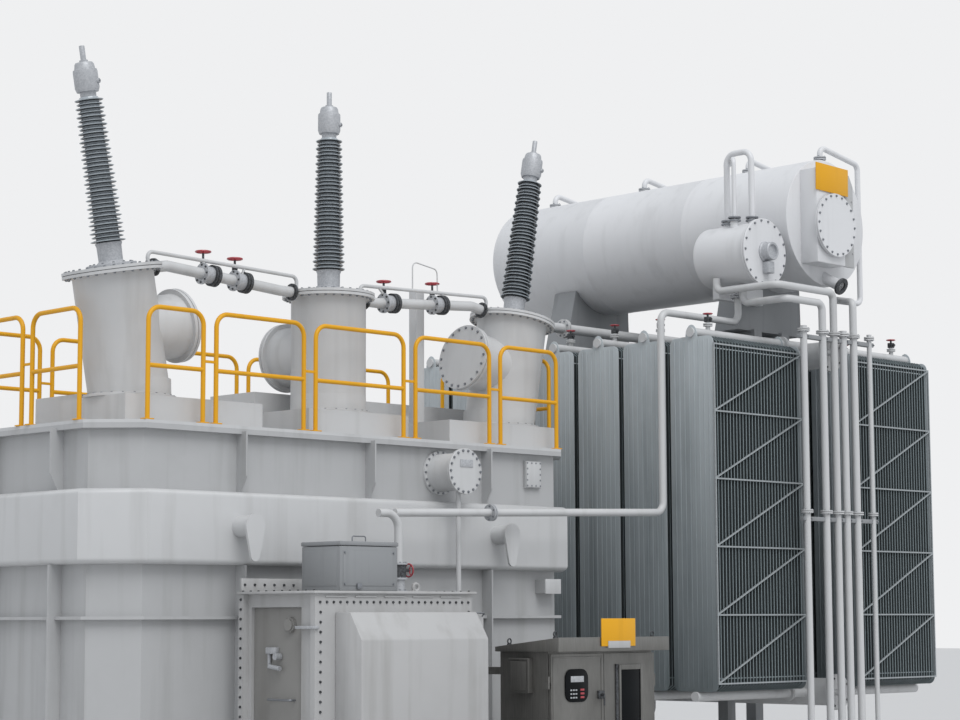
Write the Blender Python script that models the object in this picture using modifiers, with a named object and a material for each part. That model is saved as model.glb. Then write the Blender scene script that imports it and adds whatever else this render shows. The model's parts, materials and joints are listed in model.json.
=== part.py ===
"""Oil-filled power transformer with a separate radiator bank, oil conservators,
leaning high-voltage bushings, a cable box and a marshalling kiosk.

The origin is on the ground under the middle of the tank. +X runs along the tank
towards the radiators, +Y to the back, +Z up. All sizes are in metres.
"""

import math

import bpy
import bmesh
from mathutils import Matrix, Vector

GAP = 0.0003            # fit between pieces that touch
SINK = 0.012            # how far a welded piece runs into what carries it
SHARP_ANGLE = math.radians(46)

# Tank: the driving sizes
TANK_HALF_X = 2.58
TANK_HALF_Y = 1.08
TANK_CHAMFER = 0.30
SKID_TOP = 0.22
TANK_BOTTOM = SKID_TOP + GAP
TANK_TOP = 3.10
RIM_REACH = 0.07
RIM_THICK = 0.04
FLOOR_THICK = 0.03
COVER_THICK = 0.025
COVER_TOP = TANK_TOP + GAP + COVER_THICK
STIFFENER_Z = 1.61
STIFFENER_THICK = 0.025
STIFFENER_REACH = 0.06
FRONT_WALL = -TANK_HALF_Y - GAP
END_WALL = TANK_HALF_X + GAP

# Skid under the tank
SKID_INSET = 0.15
SKID_BEAM_Y = 0.72
SKID_BEAM_WIDTH = 0.20
SKID_CROSS_PITCH = 0.95
SKID_CROSS_COUNT = 5
SKID_CROSS_WIDTH = 0.14
SKID_CROSS_INSET = 0.10
SKID_CROSS_DROP = 0.01

# Belt round the tank, with the lifting trunnions
GIRDLE_LOW = 2.03
GIRDLE_HIGH = 2.60
GIRDLE_REACH = 0.12
GIRDLE_ROUND = 0.045
GIRDLE_ARM_HEIGHTS = (2.22, 2.46)
GIRDLE_ARM_LENGTH = 0.17
GIRDLE_ARM_THICK = 0.025
TRUNNION_X = 1.43
TRUNNION_Z = 2.33
TRUNNION_RADIUS = 0.095
TRUNNION_LENGTH = 0.18
TRUNNION_PLATE = 0.022
TRUNNION_TAIL = 0.045
TRUNNION_DROP = 0.23

# Ribs, hand hole and jacking pad on the tank's walls
RIB_THICK = 0.016
RIB_REACH = 0.12
RIB_FOOT_REACH = 0.05
RIB_SLOPE_Z = 0.13
RIB_PITCH_X = 1.37
RIB_PITCH_Y = 0.45
HAND_HOLE_X = 1.985
HAND_HOLE_HALF = 0.10
HAND_HOLE_Z = (2.763, 3.005)
HAND_HOLE_THICK = 0.03
JACK_X = 2.135
JACK_HALF = 0.105
JACK_Z = (1.83, 1.95)
JACK_REACH = 0.12

# High-voltage turrets and bushings
TURRET_PITCH = TANK_HALF_X - 0.514
TURRET_Y = -0.60
TURRET_RADIUS = 0.32
TURRET_RISE = 1.04
TURRET_FOOT_HEIGHT = 0.16
TURRET_FLANGE_RADIUS = 0.40
TURRET_FLANGE_THICK = 0.05
TURRET_LEAN = math.radians(10.5)
TURRET_FOOT_RADIUS = 0.37
TURRET_FOOT_THICK = 0.02
STUB_RADIUS = 0.26
STUB_FLANGE_RADIUS = 0.30
STUB_FLANGE_THICK = 0.03
STUB_RISE = 0.53
STUB_REACH = 0.54
BUSHING_FOOT_RADIUS = 0.20
BUSHING_FOOT_THICK = 0.03
BUSHING_TUBE_RADIUS = 0.095
BUSHING_TUBE_HEIGHT = 0.17
SHED_COUNT = 22
SHED_PITCH = 0.052
SHED_LOW_RADIUS = 0.140
SHED_HIGH_RADIUS = 0.114
CORE_LOW_RADIUS = 0.098
CORE_HIGH_RADIUS = 0.078
CAP_NECK_RADIUS = 0.062
CAP_NECK_HEIGHT = 0.045
CAP_RADIUS = 0.098
CAP_TOP_RADIUS = 0.075
CAP_SHOULDER = 0.05
CAP_HEIGHT = 0.235
STUD_RADIUS = 0.022
STUD_HEIGHT = 0.13

# Cover: the pads under the turrets, the cable trunk and a post
PAD_TOP = TANK_TOP + 0.23
PAD_FRONT = -TANK_HALF_Y + 0.08
PAD_BACK = -0.13
PAD_B_HALF = 0.56
PAD_SIDE_INNER = TURRET_PITCH - 1.016
PAD_SIDE_OUTER = TURRET_PITCH + 0.334
TRUNK_LEFT = -0.40
TRUNK_RIGHT = 2.20
TRUNK_FRONT = -0.10
TRUNK_BACK = 0.50
TRUNK_TOP = PAD_TOP + 0.21
TRUNK_LOW_LEFT = -2.20
TRUNK_LOW_TOP = PAD_TOP + 0.07
POST_X = PAD_SIDE_INNER + 0.22
POST_Y = -0.35
POST_SIZE = 0.10
POST_HEIGHT = 1.22

# Oil pipes between the turrets
VENT_PIPE_RADIUS = 0.045
VENT_PIPE_REACH = 0.14
VALVE_RADIUS = 0.088
VALVE_LENGTH = 0.15
VALVE_SHARES = (0.36, 0.64)
AIR_PIPE_RADIUS = 0.016
AIR_PIPE_SEAT = 0.36
AIR_PIPE_RISE = 0.11

# Radiator bank
RAD_PITCH = 0.58
RAD_GAP = 0.06
RAD_COUNT = 7
RAD_FRONT = -2.0
RAD_BACK = RAD_FRONT + RAD_COUNT * RAD_PITCH - RAD_GAP
RAD_BOTTOM = 0.94
RAD_TOP = 4.19
FIN_COUNT = 29          # panels of the two radiators at the bank's front
BACK_FIN_COUNT = 15     # of the two at its back: every other one of the real ones
INNER_FIN_COUNT = 8     # of those between, where only the outer sides and webs show
FIN_THICK = 0.012
FIN_WEB = 0.012
BANK_A_LENGTH = 1.312
BANK_B_LENGTH = 1.274
BANK_SPACE = 0.866
BANK_START = TANK_HALF_X + 0.87
BANK_A = (BANK_START, BANK_START + BANK_A_LENGTH)
BANK_B = (BANK_A[1] + BANK_SPACE, BANK_A[1] + BANK_SPACE + BANK_B_LENGTH)
HEADER_RADIUS = 0.045
HEADER_END = 0.02
VENT_RADIUS = 0.022
VENT_HEIGHT = 0.12
VENT_INSET = 0.25
MANIFOLD_X = BANK_A[1] + 0.428
MANIFOLD_RADIUS = 0.13
MANIFOLD_TOP_Z = RAD_TOP - 0.05
MANIFOLD_LOW_Z = RAD_BOTTOM - 0.04
MANIFOLD_REACH = 0.04
MANIFOLD_FLANGE = 0.17
MANIFOLD_LID = 0.04
MANIFOLD_FRONT = RAD_FRONT - MANIFOLD_REACH
MANIFOLD_BACK = RAD_FRONT + RAD_COUNT * RAD_PITCH + MANIFOLD_REACH
BRACE_BAR = 0.014
BRACE_LEVELS = 6
BRACE_TOP_Z = RAD_TOP - 0.081
BRACE_STEP = 0.619

# Frame between the banks
FRAME_POST = 0.12
FRAME_POST_Y = 0.87
FRAME_SPREAD = 0.22
FRAME_FOOT = 0.26
FRAME_FOOT_THICK = 0.03
FRAME_BEAM_LOW = MANIFOLD_TOP_Z + MANIFOLD_RADIUS + 0.04
FRAME_BEAM_TOP = FRAME_BEAM_LOW + 0.12
FRAME_BEAM_HALF = 1.34
FRAME_TIE_Z = (0.20, 0.32)

# Conservators
MAIN_X = MANIFOLD_X + 0.17
MAIN_Z = 5.47
MAIN_RADIUS = 0.63
MAIN_FRONT = -1.90
MAIN_BACK = 2.10
MAIN_DISH = 0.10
SADDLE_THICK = 0.30
SADDLE_X = (MAIN_X - 0.65, MAIN_X + 0.36)
SADDLE_TAPER = (0.16, 0.02)
SADDLE_SINK = 0.42
SADDLE_Y = 1.15
END_BOX_X = (MAIN_X - 0.41, MAIN_X + 0.04)
END_BOX_Z = (MAIN_Z - 0.45, MAIN_Z + 0.48)
END_BOX_REACH = 0.20
END_PLATE_WIDTH = 0.16
END_PLATE_THICK = 0.03
MANHOLE_X = MAIN_X - 0.16
MANHOLE_Z = MAIN_Z - 0.07
MANHOLE_RADIUS = 0.31
MANHOLE_NECK = 0.27
MANHOLE_NECK_LENGTH = 0.02
MANHOLE_THICK = 0.03
NOZZLE_X = MAIN_X - 0.03
NOZZLE_DROP = 0.54
NOZZLE_FALL = 0.12
NOZZLE_REACH = 0.20
NOZZLE_RADIUS = 0.055
NOZZLE_FLANGE = 0.085
NOZZLE_BORE = 0.045
LOOP_RADIUS = 0.028
LOOP_PLACES = (MAIN_FRONT + 0.10, -0.9, 0.5, MAIN_BACK - 0.3)
LOOP_START = 0.06
LOOP_RISE = 0.16
LOOP_FALL = 0.10
LOOP_CLEAR = 0.06
LOOP_END_DROP = 0.73
LOOP_RETURN = 0.34
LOOP_SHORT_DROP = 0.42
LOOP_SHORT_RETURN = 0.12
LOOP_FLANGE = 0.06
SMALL_X = MAIN_X - 0.94
SMALL_Z = 5.08
SMALL_RADIUS = 0.295
SMALL_FLANGE = 0.325
SMALL_FLANGE_THICK = 0.035
SMALL_FRONT = -1.87
SMALL_BACK = -1.22
SMALL_DISH = 0.07
GAUGE_RADIUS = 0.085
GAUGE_LENGTH = 0.12
ARCH_TOP = SMALL_Z + 1.02
ARCH_Y = (-1.42, -1.72)
SHELF_HALF = 0.10
SHELF_DEEP = 0.08
SHELF_Z = (-0.12, 0.04)
SHELF_RUN = 0.30

# Upright pipes in front of the banks: place from the manifold, and radius
RISER_Y = RAD_FRONT - 0.17
RISER_Z_LOW = 0.30
RISER_Z_HIGH = 4.36
RISERS = ((-0.59, 0.033), (-0.29, 0.036), (-0.11, 0.036), (0.04, 0.036), (0.21, 0.036), (0.47, 0.024))
RISER_BARS = (2.53, 4.26)
RISER_BAR_HALF = 0.02
RISER_BAR_END = 0.06
RISER_BAR_Y = (-0.012, 0.045)
RISER_STUB_RADIUS = 0.03
RISER_BEND = 0.07
LOW_RUN_Z = RISER_Z_HIGH + 0.24
LOW_RUN_END = (SMALL_X - 0.07, ARCH_Y[1] + 0.07, SMALL_Z - SMALL_RADIUS - SINK)
HIGH_RUN_Z = RISER_Z_HIGH + 0.36
HIGH_RUN_END = (SMALL_X - 0.22, ARCH_Y[0] - 0.03, SMALL_Z - SMALL_RADIUS + 0.06)
SIDE_RUN_Z = RISER_Z_HIGH + 0.30
SIDE_RUN_END = (MAIN_X + 0.29, LOOP_PLACES[0], MAIN_Z - LOOP_END_DROP)

# Thin oil pipe along the tank and up to the small conservator
FEED_RADIUS = 0.034
FEED_Y = -TANK_HALF_Y - 0.45
FEED_X_LEFT = -0.27
FEED_RISER_X = BANK_START - 0.18
FEED_Z = 2.46
FEED_Z_RIGHT = 2.57
FEED_TOP_Z = 4.43
FEED_BEND = 0.10
FEED_FLANGE = 0.075
FEED_FLANGE_HALF = 0.02
FEED_FLANGE_DROP = 0.10
FEED_JOINT_X = 1.02
FEED_BRANCH = 0.22
FEED_VALVE_HALF = (0.07, 0.06)
FEED_VALVE_Z = (0.02, 0.22)

# Large oil pipes between the tank's end and the manifolds
OIL_RADIUS = 0.05
OIL_Y = 0.30
OIL_TANK_Z = 2.85
OIL_RISE_X = TANK_HALF_X + 0.44
OIL_TOP_Z = 4.50
OIL_LOW_Z = 0.62
OIL_TOP_BEND = 0.12
OIL_LOW_BEND = 0.10

# Cable box
CABLE_X = (-1.48, 0.17)
CABLE_Y = (-TANK_HALF_Y - 1.07, -TANK_HALF_Y - 0.18)
CABLE_Z = (0.30, 1.80)
CABLE_ROOF_THICK = 0.02
CABLE_ROOF_REACH = 0.03
CABLE_FLANGE = 0.04
CABLE_FLANGE_THICK = 0.025
CABLE_STRIP = 0.06
CABLE_STRIP_REACH = 0.01
CABLE_LEG = 0.10
CABLE_LEG_INSET = 0.06
THROAT_X = (-1.22, -0.10)
THROAT_Z = (0.70, 1.55)
RECESS_Y = (0.20, 0.10)
RECESS_Z = (0.12, 0.10)
RECESS_DEEP = 0.03
HOOD_X = (-1.28, 0.06)
HOOD_Z = (0.55, 1.66)
HOOD_DEEP = 0.30
HOOD_SLOPE_RUN = 0.13
HOOD_SLOPE_DROP = 0.208
TERMINAL_X = (-1.17, -0.56)
TERMINAL_Y = (CABLE_Y[0] + 0.07, CABLE_Y[0] + 0.53)
TERMINAL_HEIGHT = 0.38
TERMINAL_EDGE = 0.006
HANDLE_X = (0.28, 0.14)
HANDLE_HEIGHT = 0.05
HANDLE_RADIUS = 0.005
HANDLE_BEND = 0.015

# Marshalling kiosk
KIOSK_X = (0.664, 1.928)
KIOSK_Y = (-TANK_HALF_Y - 1.44, -TANK_HALF_Y - 0.905)
KIOSK_Z = (0.10, 1.34)
KIOSK_WALL = 0.02
PLINTH_INSET = 0.03
GEAR_INSET_X = 0.10
GEAR_INSET_Z = 0.18
GEAR_DEEP = 0.08
VENT_BOX_REACH = 0.05
VENT_BOX_Y = (0.18, 0.38)
VENT_BOX_DROP = (0.33, 0.06)
ARM_X = (0.80, 1.75)
ARM_Z = 1.15
ARM_SIZE = 0.06
ROOF_SIDE_REACH = 0.045
ROOF_FRONT_REACH = 0.16
ROOF_BACK_REACH = 0.02
ROOF_FRONT_HIGH = 0.115
ROOF_BACK_HIGH = 0.04
DOOR_THICK = 0.025
DOOR_GAP = 0.006
DOOR_SIDE_INSET = 0.003
DOOR_SEAL = 0.005
DOOR_LOW = 0.14
DOOR_HIGH = 1.32
HINGE_OUT = 0.014
HINGE_BACK = 0.012
HINGE_HEIGHTS = (0.34, 1.12)
KNUCKLE_RADIUS = 0.009
KNUCKLE_LENGTH = 0.05
KNUCKLE_GAP = 0.0005
STRAP_DEPTH = (0.002, 0.020)
STRAP_TRIM = 0.001

# Handrails on the cover
RAIL_Y = TANK_HALF_Y + 0.04
RAIL_END_X = TANK_HALF_X + 0.04
RAIL_RADIUS = 0.019
RAIL_MIDDLE_RADIUS = 0.017
RAIL_TOP = COVER_TOP + 0.875
RAIL_MID = COVER_TOP + 0.42
RAIL_BEND = 0.11
RAIL_FOOT = (0.10, 0.06)
RAIL_FOOT_THICK = 0.012
RAIL_START = -2.30
RAIL_LENGTHS = (0.57, 0.94, 1.02, 0.93, 0.76)
RAIL_SPACE = 0.095
RAIL_END_REACH = TANK_HALF_Y - 0.35
RAIL_END_SPACE = 0.10
RAIL_LINK = 0.012
RAIL_LINK_RISE = 0.06

# Drum on the front wall
DRUM_X = 0.84
DRUM_Z = 2.85
DRUM_RADIUS = 0.16
DRUM_FLANGE = 0.195
DRUM_FOOT = 0.19
DRUM_LENGTH = 0.33
DRUM_FLANGE_THICK = 0.025
DRAIN_RADIUS = 0.022
DRAIN_OUT = 0.24
DRAIN_LOW_Z = 1.76
DRAIN_BEND = 0.08


def clear_scene():
    for obj in list(bpy.data.objects):
        bpy.data.objects.remove(obj, do_unlink=True)


def new_collection(name):
    collection = bpy.data.collections.new(name)
    bpy.context.scene.collection.children.link(collection)
    return collection


def new_material(name, colour, roughness, metallic=0.0):
    made = bpy.data.materials.new(name)
    made.use_nodes = True
    shader = made.node_tree.nodes["Principled BSDF"]
    shader.inputs["Base Color"].default_value = (*colour, 1.0)
    shader.inputs["Roughness"].default_value = roughness
    shader.inputs["Metallic"].default_value = metallic
    return made


clear_scene()
PARTS = new_collection("power_transformer")
TOOLS = new_collection("cutters")
PAINT = new_material("pale_grey_paint", (0.62, 0.63, 0.63), 0.5)
DARK_PAINT = new_material("support_grey_paint", (0.36, 0.37, 0.39), 0.5)
RADIATOR_PAINT = new_material("radiator_grey_paint", (0.42, 0.46, 0.47), 0.45)
PORCELAIN = new_material("blue_grey_porcelain", (0.30, 0.36, 0.40), 0.25)
YELLOW = new_material("safety_yellow_paint", (0.85, 0.48, 0.06), 0.4)
STEEL = new_material("brushed_stainless_steel", (0.42, 0.41, 0.39), 0.35, 0.9)
GALVANISED = new_material("galvanised_steel", (0.55, 0.57, 0.58), 0.45, 0.6)


def add_empty(name, place=(0, 0, 0), parent=None):
    empty = bpy.data.objects.new(name, None)
    empty.location = place
    empty.parent = parent
    PARTS.objects.link(empty)
    return empty


ROOT = add_empty("transformer_origin")


def add_object(name, mesh, place, paint=None):
    """Put a mesh at its place: with a paint it is a part, with none a tool."""
    obj = bpy.data.objects.new(name, mesh)
    obj.matrix_basis = place
    if paint is None:
        TOOLS.objects.link(obj)
        obj.hide_render = True
        obj.display_type = 'WIRE'
    else:
        PARTS.objects.link(obj)
        obj.parent = ROOT
        mesh.materials.append(paint)
    return obj


def add_shape(name, shape, place, paint=None):
    """Make an object of a bmesh that is modelled round the object's own origin."""
    mesh = bpy.data.meshes.new(name)
    shape.to_mesh(mesh)
    shape.free()
    mesh.shade_smooth()
    mesh.set_sharp_from_angle(angle=SHARP_ANGLE)
    return add_object(name, mesh, place, paint)


def box(name, low, high, paint=None, bevel=0.0):
    """A box between two corners, with its origin in its middle."""
    size = Vector(high) - Vector(low)
    shape = bmesh.new()
    bmesh.ops.create_cube(shape, size=1.0)
    bmesh.ops.scale(shape, vec=size, verts=shape.verts)
    if bevel:
        bmesh.ops.bevel(shape, geom=shape.edges[:], offset=bevel, segments=1,
                        affect='EDGES', profile=0.5, material=-1)
    return add_shape(name, shape, Matrix.Translation(Vector(low) + size / 2), paint)


def rod(name, start, end, radius, paint=None, sides=12):
    """A cylinder between two points."""
    start = Vector(start)
    along = Vector(end) - start
    shape = bmesh.new()
    bmesh.ops.create_cone(shape, cap_ends=True, segments=sides, radius1=radius, radius2=radius,
                          depth=along.length)
    turn = along.to_track_quat('Z', 'Y').to_matrix().to_4x4()
    return add_shape(name, shape, Matrix.Translation(start + along / 2) @ turn, paint)


def curve_to_mesh(name, curve, place, paint=None):
    """Turn a curve into a welded mesh object and remove the curve."""
    guide = bpy.data.objects.new(name + "_curve", curve)
    bpy.context.scene.collection.objects.link(guide)
    bpy.context.view_layer.update()
    graph = bpy.context.evaluated_depsgraph_get()
    mesh = bpy.data.meshes.new_from_object(guide.evaluated_get(graph))
    bpy.data.objects.remove(guide, do_unlink=True)
    shape = bmesh.new()
    shape.from_mesh(mesh)
    bpy.data.meshes.remove(mesh)
    bmesh.ops.remove_doubles(shape, verts=shape.verts, dist=0.00005)
    bmesh.ops.recalc_face_normals(shape, faces=shape.faces)
    return add_shape(name, shape, place, paint)


def add_loop(curve, outline):
    """Add a closed outline to a flat curve: inside another one, it is a hole."""
    spline = curve.splines.new('POLY')
    spline.points.add(len(outline) - 1)
    for point, (x, y) in zip(spline.points, outline):
        point.co = (x, y, 0, 1)
    spline.use_cyclic_u = True


def flat_curve(name, outline, thickness):
    curve = bpy.data.curves.new(name, 'CURVE')
    curve.dimensions = '2D'
    curve.fill_mode = 'BOTH'
    curve.extrude = thickness / 2
    curve.resolution_u = 1
    curve.render_resolution_u = 0
    add_loop(curve, outline)
    return curve


def slab(name, outline, low, high, paint=None):
    """An outline in plan, extruded from one height to another."""
    curve = flat_curve(name, outline, high - low)
    return curve_to_mesh(name, curve, Matrix.Translation((0, 0, (low + high) / 2)), paint)


def plate(name, outline, origin, first, second, thickness, paint=None):
    """An outline in the plane of two directions, as a plate centred on its origin."""
    first = Vector(first)
    second = Vector(second)
    turn = Matrix((first, second, first.cross(second))).transposed().to_4x4()
    curve = flat_curve(name, outline, thickness)
    return curve_to_mesh(name, curve, Matrix.Translation(origin) @ turn, paint)


def rounded_route(points, bend, steps):
    """The points of a route with an arc of the bend's radius at each corner."""
    route = [Vector(points[0])]
    for before, corner, after in zip(points, points[1:], points[2:]):
        corner = Vector(corner)
        to_before = (Vector(before) - corner).normalized()
        to_after = (Vector(after) - corner).normalized()
        half = to_before.angle(to_after) / 2
        reach = bend / math.tan(half)
        centre = corner + (to_before + to_after).normalized() * bend / math.sin(half)
        first = corner + to_before * reach - centre
        last = corner + to_after * reach - centre
        turn = first.angle(last)
        for step in range(steps + 1):
            share = step / steps
            mixed = first * math.sin((1 - share) * turn) + last * math.sin(share * turn)
            route.append(centre + mixed / math.sin(turn))
    route.append(Vector(points[-1]))
    return route


def pipe(name, points, radius, bend, paint=None, sides=6, steps=2):
    """A tube along a route with rounded corners, with its origin at its start."""
    curve = bpy.data.curves.new(name, 'CURVE')
    curve.dimensions = '3D'
    curve.bevel_depth = radius
    curve.bevel_resolution = (sides - 4) // 2
    curve.use_fill_caps = True
    curve.render_resolution_u = 0
    start = Vector(points[0])
    route = rounded_route(points, bend, steps)
    spline = curve.splines.new('POLY')
    spline.points.add(len(route) - 1)
    for point, place in zip(spline.points, route):
        point.co = (*(place - start), 1)
    return curve_to_mesh(name, curve, Matrix.Translation(start), paint)


def turned(name, profile, place, paint=None, sides=16):
    """A profile of (radius, height) pairs, from top to bottom, turned about Z."""
    mesh = bpy.data.meshes.new(name)
    points = [(radius, 0, height) for radius, height in profile]
    mesh.from_pydata(points, [(step, step + 1) for step in range(len(points) - 1)], [])
    obj = add_object(name, mesh, place, paint)
    screw = obj.modifiers.new("turn", 'SCREW')
    screw.steps = sides
    screw.render_steps = sides
    screw.use_merge_vertices = True
    screw.merge_threshold = 0.0001
    return obj


def combine(target, tools, operation):
    """Add a boolean for each tool, and let the tools follow their target."""
    for tool in tools:
        tool.parent = target
        tool.matrix_parent_inverse = target.matrix_basis.inverted()
        modifier = target.modifiers.new(tool.name, 'BOOLEAN')
        modifier.operation = operation
        modifier.solver = 'EXACT'
        modifier.object = tool
    return target


def fuse(target, *tools):
    return combine(target, tools, 'UNION')


def cut(target, *tools):
    return combine(target, tools, 'DIFFERENCE')


def octagon(half_x, half_y, chamfer):
    return [(half_x, -half_y + chamfer), (half_x, half_y - chamfer),
            (half_x - chamfer, half_y), (-half_x + chamfer, half_y),
            (-half_x, half_y - chamfer), (-half_x, -half_y + chamfer),
            (-half_x + chamfer, -half_y), (half_x - chamfer, -half_y)]


def moved_chamfer(reach):
    """The corner cut of the tank's plan when its walls are moved out by a reach."""
    return TANK_CHAMFER + 2 * reach * (1 - math.cos(math.radians(45)))


def tank_outline(reach):
    """The tank's plan, moved outwards by a reach."""
    return octagon(TANK_HALF_X + reach, TANK_HALF_Y + reach, moved_chamfer(reach))


def axis_along_y(x, y, z):
    """Places a turned shape with its axis along -Y, its height zero at y."""
    return Matrix.Translation((x, y, z)) @ Matrix.Rotation(math.radians(90), 4, 'X')


def make_skid():
    """Two long beams under the tank, joined by cross beams."""
    long_half = TANK_HALF_X - SKID_INSET
    cross_half = TANK_HALF_Y - SKID_CROSS_INSET
    half = SKID_BEAM_WIDTH / 2
    skid = box("skid_frame", (-long_half, -SKID_BEAM_Y - half, 0),
               (long_half, -SKID_BEAM_Y + half, SKID_TOP), DARK_PAINT)
    other = box("skid_back_tool", (-long_half, SKID_BEAM_Y - half, 0),
                (long_half, SKID_BEAM_Y + half, SKID_TOP))
    crosses = []
    for number in range(SKID_CROSS_COUNT):
        place = (number - (SKID_CROSS_COUNT - 1) / 2) * SKID_CROSS_PITCH
        crosses.append(box(f"skid_cross_tool_{number}", (place - SKID_CROSS_WIDTH / 2, -cross_half, 0),
                           (place + SKID_CROSS_WIDTH / 2, cross_half, SKID_TOP - SKID_CROSS_DROP)))
    return fuse(skid, *crosses, other)


def rib_tools():
    """The upper and lower stiffening ribs on all four sides of the tank."""
    high = (GIRDLE_HIGH + GAP, TANK_TOP - RIM_THICK / 2)
    low = (TANK_BOTTOM + FLOOR_THICK / 2, GIRDLE_LOW - GAP)
    upper = [(-SINK, high[0]), (RIB_FOOT_REACH, high[0]), (RIB_REACH, high[0] + RIB_SLOPE_Z),
             (RIB_REACH, high[1]), (-SINK, high[1])]
    lower = [(-SINK, low[0]), (RIB_REACH, low[0]), (RIB_REACH, low[1]), (-SINK, low[1])]
    places = []
    for side in (-1, 1):
        for step in (-1, 0, 1):
            places.append(((step * RIB_PITCH_X, side * TANK_HALF_Y, 0), (0, side, 0)))
        for step in (-1, 1):
            places.append(((side * TANK_HALF_X, step * RIB_PITCH_Y, 0), (side, 0, 0)))
    return [plate(f"rib_tool_{number}_{level}", outline, place, outward, (0, 0, 1), RIB_THICK)
            for number, (place, outward) in enumerate(places)
            for level, outline in enumerate((upper, lower))]


def make_tank():
    body = slab("tank_body", tank_outline(0), TANK_BOTTOM + FLOOR_THICK / 3,
                TANK_TOP - RIM_THICK / 3, PAINT)
    rim = slab("rim_tool", tank_outline(RIM_REACH), TANK_TOP - RIM_THICK, TANK_TOP)
    floor = slab("floor_tool", tank_outline(STIFFENER_REACH), TANK_BOTTOM, TANK_BOTTOM + FLOOR_THICK)
    stiffener = slab("stiffener_tool", tank_outline(STIFFENER_REACH), STIFFENER_Z,
                     STIFFENER_Z + STIFFENER_THICK)
    inside = -TANK_HALF_Y + SINK
    hand_hole = box("hand_hole_tool",
                    (HAND_HOLE_X - HAND_HOLE_HALF, -TANK_HALF_Y - HAND_HOLE_THICK, HAND_HOLE_Z[0]),
                    (HAND_HOLE_X + HAND_HOLE_HALF, inside, HAND_HOLE_Z[1]))
    jack = box("jack_tool", (JACK_X - JACK_HALF, -TANK_HALF_Y - JACK_REACH, JACK_Z[0]),
               (JACK_X + JACK_HALF, inside, JACK_Z[1]))
    return fuse(body, rim, floor, stiffener, hand_hole, jack, *rib_tools())


def trunnion_outline():
    """A plate with a large round head and a small round foot, in X and Z."""
    spread = math.asin((TRUNNION_RADIUS - TRUNNION_TAIL) / TRUNNION_DROP)
    head = (TRUNNION_RADIUS, 0, -spread, math.pi + 2 * spread, 6)
    foot = (TRUNNION_TAIL, -TRUNNION_DROP, math.pi + spread, math.pi - 2 * spread, 3)
    points = []
    for radius, height, start, sweep, steps in (head, foot):
        for step in range(steps + 1):
            angle = start + sweep * step / steps
            points.append((radius * math.cos(angle), height + radius * math.sin(angle)))
    return points


def make_girdle():
    """The wide belt with rounded edges, its lifting trunnions and two pipe arms."""
    shape = bmesh.new()
    corners = [shape.verts.new((x, y, 0)) for x, y in tank_outline(GIRDLE_REACH)]
    face = shape.faces.new(corners)
    lifted = bmesh.ops.extrude_face_region(shape, geom=[face])["geom"]
    lifted_verts = [item for item in lifted if isinstance(item, bmesh.types.BMVert)]
    bmesh.ops.translate(shape, vec=(0, 0, GIRDLE_HIGH - GIRDLE_LOW), verts=lifted_verts)
    level_edges = [edge for edge in shape.edges
                   if abs(edge.verts[0].co.z - edge.verts[1].co.z) < GAP]
    bmesh.ops.bevel(shape, geom=level_edges, offset=GIRDLE_ROUND, segments=1, affect='EDGES',
                    profile=0.5, material=-1)
    bmesh.ops.recalc_face_normals(shape, faces=shape.faces)
    girdle = add_shape("tank_girdle", shape, Matrix.Translation((0, 0, GIRDLE_LOW)), PAINT)
    cut(girdle, slab("girdle_hole_tool", tank_outline(GAP), GIRDLE_LOW - GIRDLE_ROUND,
                     GIRDLE_HIGH + GIRDLE_ROUND))
    face_y = TANK_HALF_Y + GIRDLE_REACH
    corner_x = TANK_HALF_X + GIRDLE_REACH - moved_chamfer(GIRDLE_REACH)
    for height in GIRDLE_ARM_HEIGHTS:
        fuse(girdle, box(f"girdle_arm_tool_{height}",
                         (corner_x - GIRDLE_ROUND, -face_y - GIRDLE_ARM_THICK / 2, height),
                         (corner_x + GIRDLE_ARM_LENGTH, -face_y + GIRDLE_ARM_THICK / 2,
                          height + GIRDLE_ARM_THICK)))
    for side in (-1, 1):
        for place in (-TRUNNION_X, TRUNNION_X):
            tip = side * (face_y + TRUNNION_LENGTH)
            post = rod(f"trunnion_tool_{side}_{place}", (place, side * (face_y - SINK), TRUNNION_Z),
                       (place, tip, TRUNNION_Z), TRUNNION_RADIUS - SINK)
            end = plate(f"trunnion_plate_tool_{side}_{place}", trunnion_outline(),
                        (place, tip, TRUNNION_Z), (1, 0, 0), (0, 0, 1), TRUNNION_PLATE)
            fuse(girdle, post, end)
    return girdle


def make_cover():
    low = COVER_TOP - SINK
    cover = slab("tank_cover", tank_outline(RIM_REACH), TANK_TOP + GAP, COVER_TOP, PAINT)
    pads = [box("pad_tool_b", (-PAD_B_HALF, PAD_FRONT, low), (PAD_B_HALF, PAD_BACK, PAD_TOP)),
            box("pad_tool_a", (-PAD_SIDE_OUTER, PAD_FRONT, low), (-PAD_SIDE_INNER, PAD_BACK, PAD_TOP)),
            box("pad_tool_c", (PAD_SIDE_INNER, PAD_FRONT, low), (PAD_SIDE_OUTER, PAD_BACK, PAD_TOP)),
            box("trunk_tool", (TRUNK_LEFT, TRUNK_FRONT, low), (TRUNK_RIGHT, TRUNK_BACK, TRUNK_TOP)),
            box("trunk_low_tool", (TRUNK_LOW_LEFT, TRUNK_FRONT, low),
                (TRUNK_LEFT + SINK, TRUNK_BACK, TRUNK_LOW_TOP))]
    return fuse(cover, *pads)


def make_post():
    """The square post that stands on the third turret's pad."""
    half = POST_SIZE / 2
    return box("cable_post", (POST_X - half, POST_Y - half, PAD_TOP + GAP),
               (POST_X + half, POST_Y + half, PAD_TOP + POST_HEIGHT), PAINT)


def turret_place(place):
    """The place of one turret's foot, and its lean in the plane of X and Z."""
    foot = Matrix.Translation((place * TURRET_PITCH, TURRET_Y, PAD_TOP + GAP))
    return foot @ Matrix.Rotation(place * TURRET_LEAN, 4, 'Y')


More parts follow.
